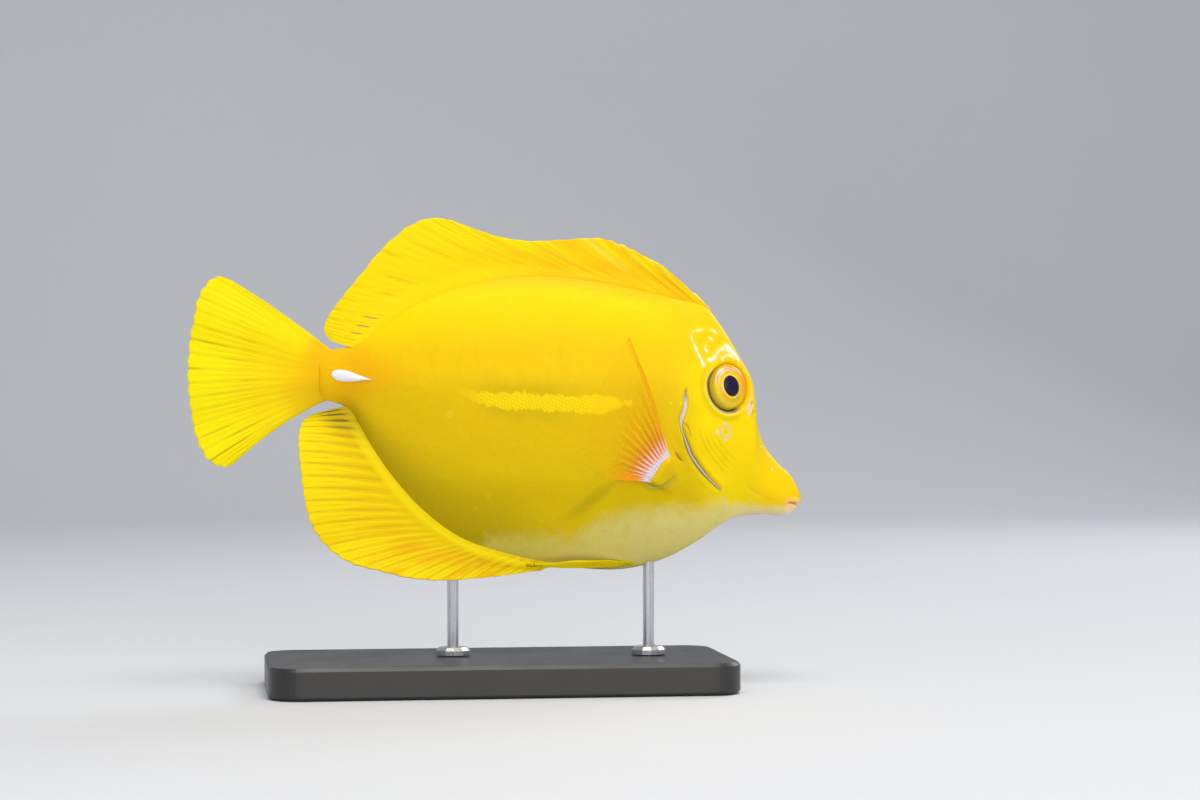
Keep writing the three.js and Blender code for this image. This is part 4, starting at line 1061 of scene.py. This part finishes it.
clear_fin, tree, shader, spot = new_finish("clear pectoral membrane")
out, across, reach, place = (stored(tree, name) for name in ("out", "across", "reach", "ray_place"))
patches = cloud(spot, 160.0, 3.0)
off_ray = abs(place - place.sum_up("ROUND"))
on_ray = fade(off_ray, 0.34, 0.1)
white = fade(reach, 5.4, 1.4)
ray_tone = tint(fade(reach, 3.0, 11.0), (1.0, 0.38, 0.05), (1.0, 0.6, 0.002))
spike = fade(off_ray, 0.3, 0.14) * white
ray_tone = tint(spike, ray_tone, (0.92, 0.84, 0.94))
web_tone = tint(fade(reach, 2.0, 8.0), (1.0, 0.28, 0.06), (1.0, 0.46, 0.003))
paint = Paint(web_tone)
paint.lay(on_ray, ray_tone)
paint.lay(fade(reach, 1.5, 0.2), (0.84, 0.78, 0.94))
pink = fade(abs(reach - 1.3), 1.2, 0.2) * 0.4
paint.lay(pink, (0.95, 0.5, 0.45))
lead = fade(across, 0.05, 0.02)
low_edge = fade(across, 0.72, 0.95)
front_web = fade(across, 0.26, 0.04) * fade(out, 0.62, 0.25)
paint.lay(lead * fade(reach, 3.0, 8.0), (1.0, 0.5, 0.002))
back_of_lead = fade(across, 0.006, 0.0) * fade(reach, 4.0, 14.0, 0.0, 0.6)
paint.lay(back_of_lead, (0.3, 0.17, 0.004))
paint.lay(low_edge * fade(reach, 1.0, 2.6), (1.0, 0.36, 0.01))
feed(shader, "Base Color", paint.tone)
own = joined(place.sum_up("ROUND"), 4.0)
own_length = cloud(own, 1.3, 1.0) * 0.5 - 0.25
far = out - own_length
ray_part = fade(far, 0.75, 0.15, 0.05, 0.8)
web_part = fade(reach, 7.0, -0.5, 0.04, 0.9).sum_up("MAXIMUM", front_web * 0.4)
opacity = Signal(put(tree, "ShaderNodeMix", {0: on_ray, 2: web_part, 3: ray_part}).outputs[0])
lead_part = lead * fade(out, 0.92, 0.55, 0.3, 0.85)
opacity = opacity.sum_up("MAXIMUM", lead_part)
opacity = opacity.sum_up("MAXIMUM", low_edge * fade(reach, 11.5, 1.0, 0.0, 0.8))
feed(shader, "Alpha", opacity)
feed(shader, "Roughness", patches * 0.2 + 0.4)
emboss(shader, cloud(spot, 900.0), 0.15, 0.0001)
feed(shader, "Specular IOR Level", 0.12)
feed(shader, "Subsurface Weight", 0.2)
feed(shader, "Subsurface Radius", (0.002, 0.0012, 0.0004))


def pectoral_thickness(along, reach, ridge, across):
    return mix(1.1, 0.22, smooth(0.5, 6.0, reach)) + ridge * mix(0.35, 0.16, along)


for side, word in ((-1, "right"), (1, "left")):
    fan = fin_blade(f"pectoral_fan_{word}", pectoral_sheet(side), 14, 80, 17, pectoral_thickness,
                    lambda s: 0.02, 0.62, 0.1)
    fan.data.materials.append(clear_fin)
    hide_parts(f"pectoral_fin_{word}")
    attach(fan, "root")

# Pelvic fins: one spine and a few rays a side, folded back against the belly keel.
PELVIC_LENGTH = 28.0
PELVIC_GUIDES = [[35.6, -49.3, 7.0, -49.9], [35.2, -48.6, 7.6, -49.0], [34.6, -47.9, 10.0, -48.0]]


def pelvic_sheet(side):
    def sheet(along, across):
        root_x, root_z, tip_x, tip_z = through(PELVIC_GUIDES, across * (len(PELVIC_GUIDES) - 1)).T
        out = mix(1.2, 4.1, smooth(0, 0.5, along)) + 0.8 * across - 1.9 * smooth(0.6, 1.0, along)
        breadth = mix(0.25, 1, smooth(0, 0.28, along)) * mix(1, 0.12, smooth(0.62, 1.0, along))
        middle = through(PELVIC_GUIDES, np.ones(len(along)))
        middle_z = mix(middle[:, 1], middle[:, 3], along)
        pz = mix(middle_z, mix(root_z, tip_z, along), breadth)
        return np.stack([mix(root_x, tip_x, along), side * out, pz], 1), along * PELVIC_LENGTH

    return sheet


pelvic_finish, tree, shader, paint = fin_finish(
    "pelvic fin membrane", ((0.8, 0.62, 0.002), (0.78, 0.6, 0.001), (0.84, 0.64, 0.001), (0.5, 0.36, 0.003)),
    streak_start=0.1, streak_end=0.9, streak_strength=0.6, seed=9.0)
feed(shader, "Base Color", paint.tone)


def pelvic_thickness(along, reach, ridge, across):
    return mix(0.95, MEMBRANE, along) + ridge * mix(0.35, 0.15, along)


for side, word in ((-1, "right"), (1, "left")):
    blade = fin_blade(f"pelvic_blade_{word}", pelvic_sheet(side), 6, 60, 10, pelvic_thickness,
                      lambda s: 0.03, 0.4, 0.05)
    blade.data.materials.append(pelvic_finish)
    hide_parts(f"pelvic_fin_{word}")
    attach(blade, "root")

# Tail spines: one sharp bony blade a side, folded forward into its groove, sheathed in white.
white_spine, tree, shader, spot = new_finish("white spine sheath")
veil = cloud(spot, 260.0, 3.0)
feed(shader, "Base Color", tint(veil, (0.78, 0.72, 0.86), (0.98, 0.96, 0.99)))
feed(shader, "Roughness", veil * 0.2 + 0.22)
emboss(shader, cloud(spot, 800.0), 0.15, 0.0001)
SPINE_ROOT = (-43.5, 3.0, 0.45)
SPINE_TIP = (-32.6, 4.9, -1.1)
SPINE_TALL = 1.5
SPINE_THICK = 0.75
for side, word in ((-1, "right"), (1, "left")):
    clear_selection()
    bpy.ops.mesh.primitive_uv_sphere_add(segments=32, ring_count=48, radius=1)
    blade = bpy.context.object
    blade.name = f"spine_blade_{word}"
    ball = get_points(blade)
    share = np.arctan2(np.hypot(ball[:, 0], ball[:, 1]), ball[:, 2]) / np.pi
    around = np.arctan2(ball[:, 1], ball[:, 0])
    centre = mix(np.array(SPINE_ROOT), np.array(SPINE_TIP), share[:, None]) * np.array([1, side, 1])
    blunt_root = np.sqrt(np.sin(np.pi * np.minimum(share * 2.2, 0.5)))
    tall = SPINE_TALL * blunt_root * (1 - smooth(0.25, 1.05, share))
    centre[:, 1] += side * SPINE_THICK * np.cos(around) * np.sqrt(np.sin(np.pi * np.clip(share, 0, 1)))
    centre[:, 2] += tall * np.sin(around)
    set_points(blade, to_room(centre))
    face_outward(blade)
    smooth_faces(blade)
    blade.data.materials.append(white_spine)
    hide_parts(f"tail_spine_{word}")
    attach(blade, "root")

# Display stand: a flat moulded base in satin black, and two turned steel rods with a foot.
lacquer, tree, shader, spot = new_finish("satin black base")
wear = cloud(spot, 60.0, 5.0)
feed(shader, "Base Color", tint(wear, (0.018, 0.017, 0.016), (0.035, 0.033, 0.03)))
feed(shader, "Roughness", wear * 0.22 + 0.26)
emboss(shader, cloud(spot, 1600.0), 0.12, 0.0001)
steel, tree, shader, spot = new_finish("brushed steel rod")
drawn = stretched(spot, (1.0, 1.0, 0.04))
lines = cloud(drawn, 3000.0, 2.0)
feed(shader, "Base Color", tint(lines, (0.52, 0.53, 0.55), (0.76, 0.77, 0.79)))
feed(shader, "Roughness", lines * 0.2 + 0.2)
feed(shader, "Metallic", 1.0)
for node, finish in (("stand_base", lacquer), ("stand_rod_front", steel), ("stand_rod_rear", steel)):
    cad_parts[node].data.materials.clear()
    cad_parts[node].data.materials.append(finish)

# Studio: a pale floor that sweeps up behind the stand, broad soft lights, and the camera level
# with the fish, a little behind its right side.
FLOOR_HALF_WIDTH = 3.0
FLOOR_RUN = 4.2
SWEEP_START = 2.4
SWEEP_LENGTH = 0.9
SWEEP_RADIUS = 0.57
clear_selection()
bpy.ops.mesh.primitive_grid_add(x_subdivisions=8, y_subdivisions=60, size=2)
floor = bpy.context.object
floor.name = "studio_floor"
sheet = get_points(floor)
run = (sheet[:, 1] + 1) / 2 * FLOOR_RUN
bend = np.clip((run - SWEEP_START) / SWEEP_LENGTH, 0, 1) * math.pi / 2
back = np.minimum(run, SWEEP_START) + SWEEP_RADIUS * np.sin(bend) - 1.4
rise = SWEEP_RADIUS * (1 - np.cos(bend)) + np.maximum(run - SWEEP_START - SWEEP_LENGTH, 0)
set_points(floor, np.stack([sheet[:, 0] * FLOOR_HALF_WIDTH, back, rise - 0.0002], 1))
smooth_faces(floor)
paper, tree, shader, spot = new_finish("pale backdrop paper")
feed(shader, "Base Color", tint(cloud(spot, 4.0), (0.7, 0.71, 0.72), (0.74, 0.745, 0.755)))
feed(shader, "Roughness", 0.8)
floor.data.materials.append(paper)

world = bpy.data.worlds.new("soft room light")
bpy.context.scene.world = world
world.use_nodes = True
feed(world.node_tree.nodes["Background"], "Color", (0.86, 0.9, 1.0, 1))
feed(world.node_tree.nodes["Background"], "Strength", 0.4)


def soft_light(name, spot, aim, size, power, colour):
    clear_selection()
    bpy.ops.object.light_add(type="AREA", location=spot)
    lamp = bpy.context.object
    lamp.name = name
    lamp.data.shape = "DISK"
    lamp.data.size = size
    lamp.data.energy = power
    lamp.data.color = colour
    lamp.rotation_euler = (Vector(aim) - Vector(spot)).to_track_quat("-Z", "Y").to_euler()


soft_light("top_light", (0.05, -0.4, 1.1), (0.0, 0.0, 0.08), 0.7, 8.4, (1.0, 0.98, 0.95))
soft_light("front_light", (0.1, -1.25, 0.4), (0.0, 0.0, 0.07), 0.9, 5.7, (1.0, 0.99, 0.97))
soft_light("rim_light", (0.7, 0.7, 0.7), (0.0, 0.0, 0.08), 0.6, 3.5, (0.95, 0.97, 1.0))

VIEW_TURN = math.radians(8)
LENS = 85
SENSOR = 36
FRAME_WIDTH = 0.312
FRAME_RIGHT = 0.0264
FRAME_DROP = 6.2
distance = FRAME_WIDTH * LENS / SENSOR
ahead = Vector((math.sin(VIEW_TURN), math.cos(VIEW_TURN), 0))
right = Vector((math.cos(VIEW_TURN), -math.sin(VIEW_TURN), 0))
centre = right * FRAME_RIGHT + Vector((0, 0, (AXIS_HEIGHT - FRAME_DROP) * MM))
bpy.ops.object.camera_add(location=centre - ahead * distance)
camera = bpy.context.object
camera.name = "camera"
camera.rotation_euler = ahead.to_track_quat("-Z", "Y").to_euler()
camera.data.lens = LENS
camera.data.sensor_width = SENSOR
bpy.context.scene.camera = camera
bpy.context.scene.view_settings.view_transform = "Standard"
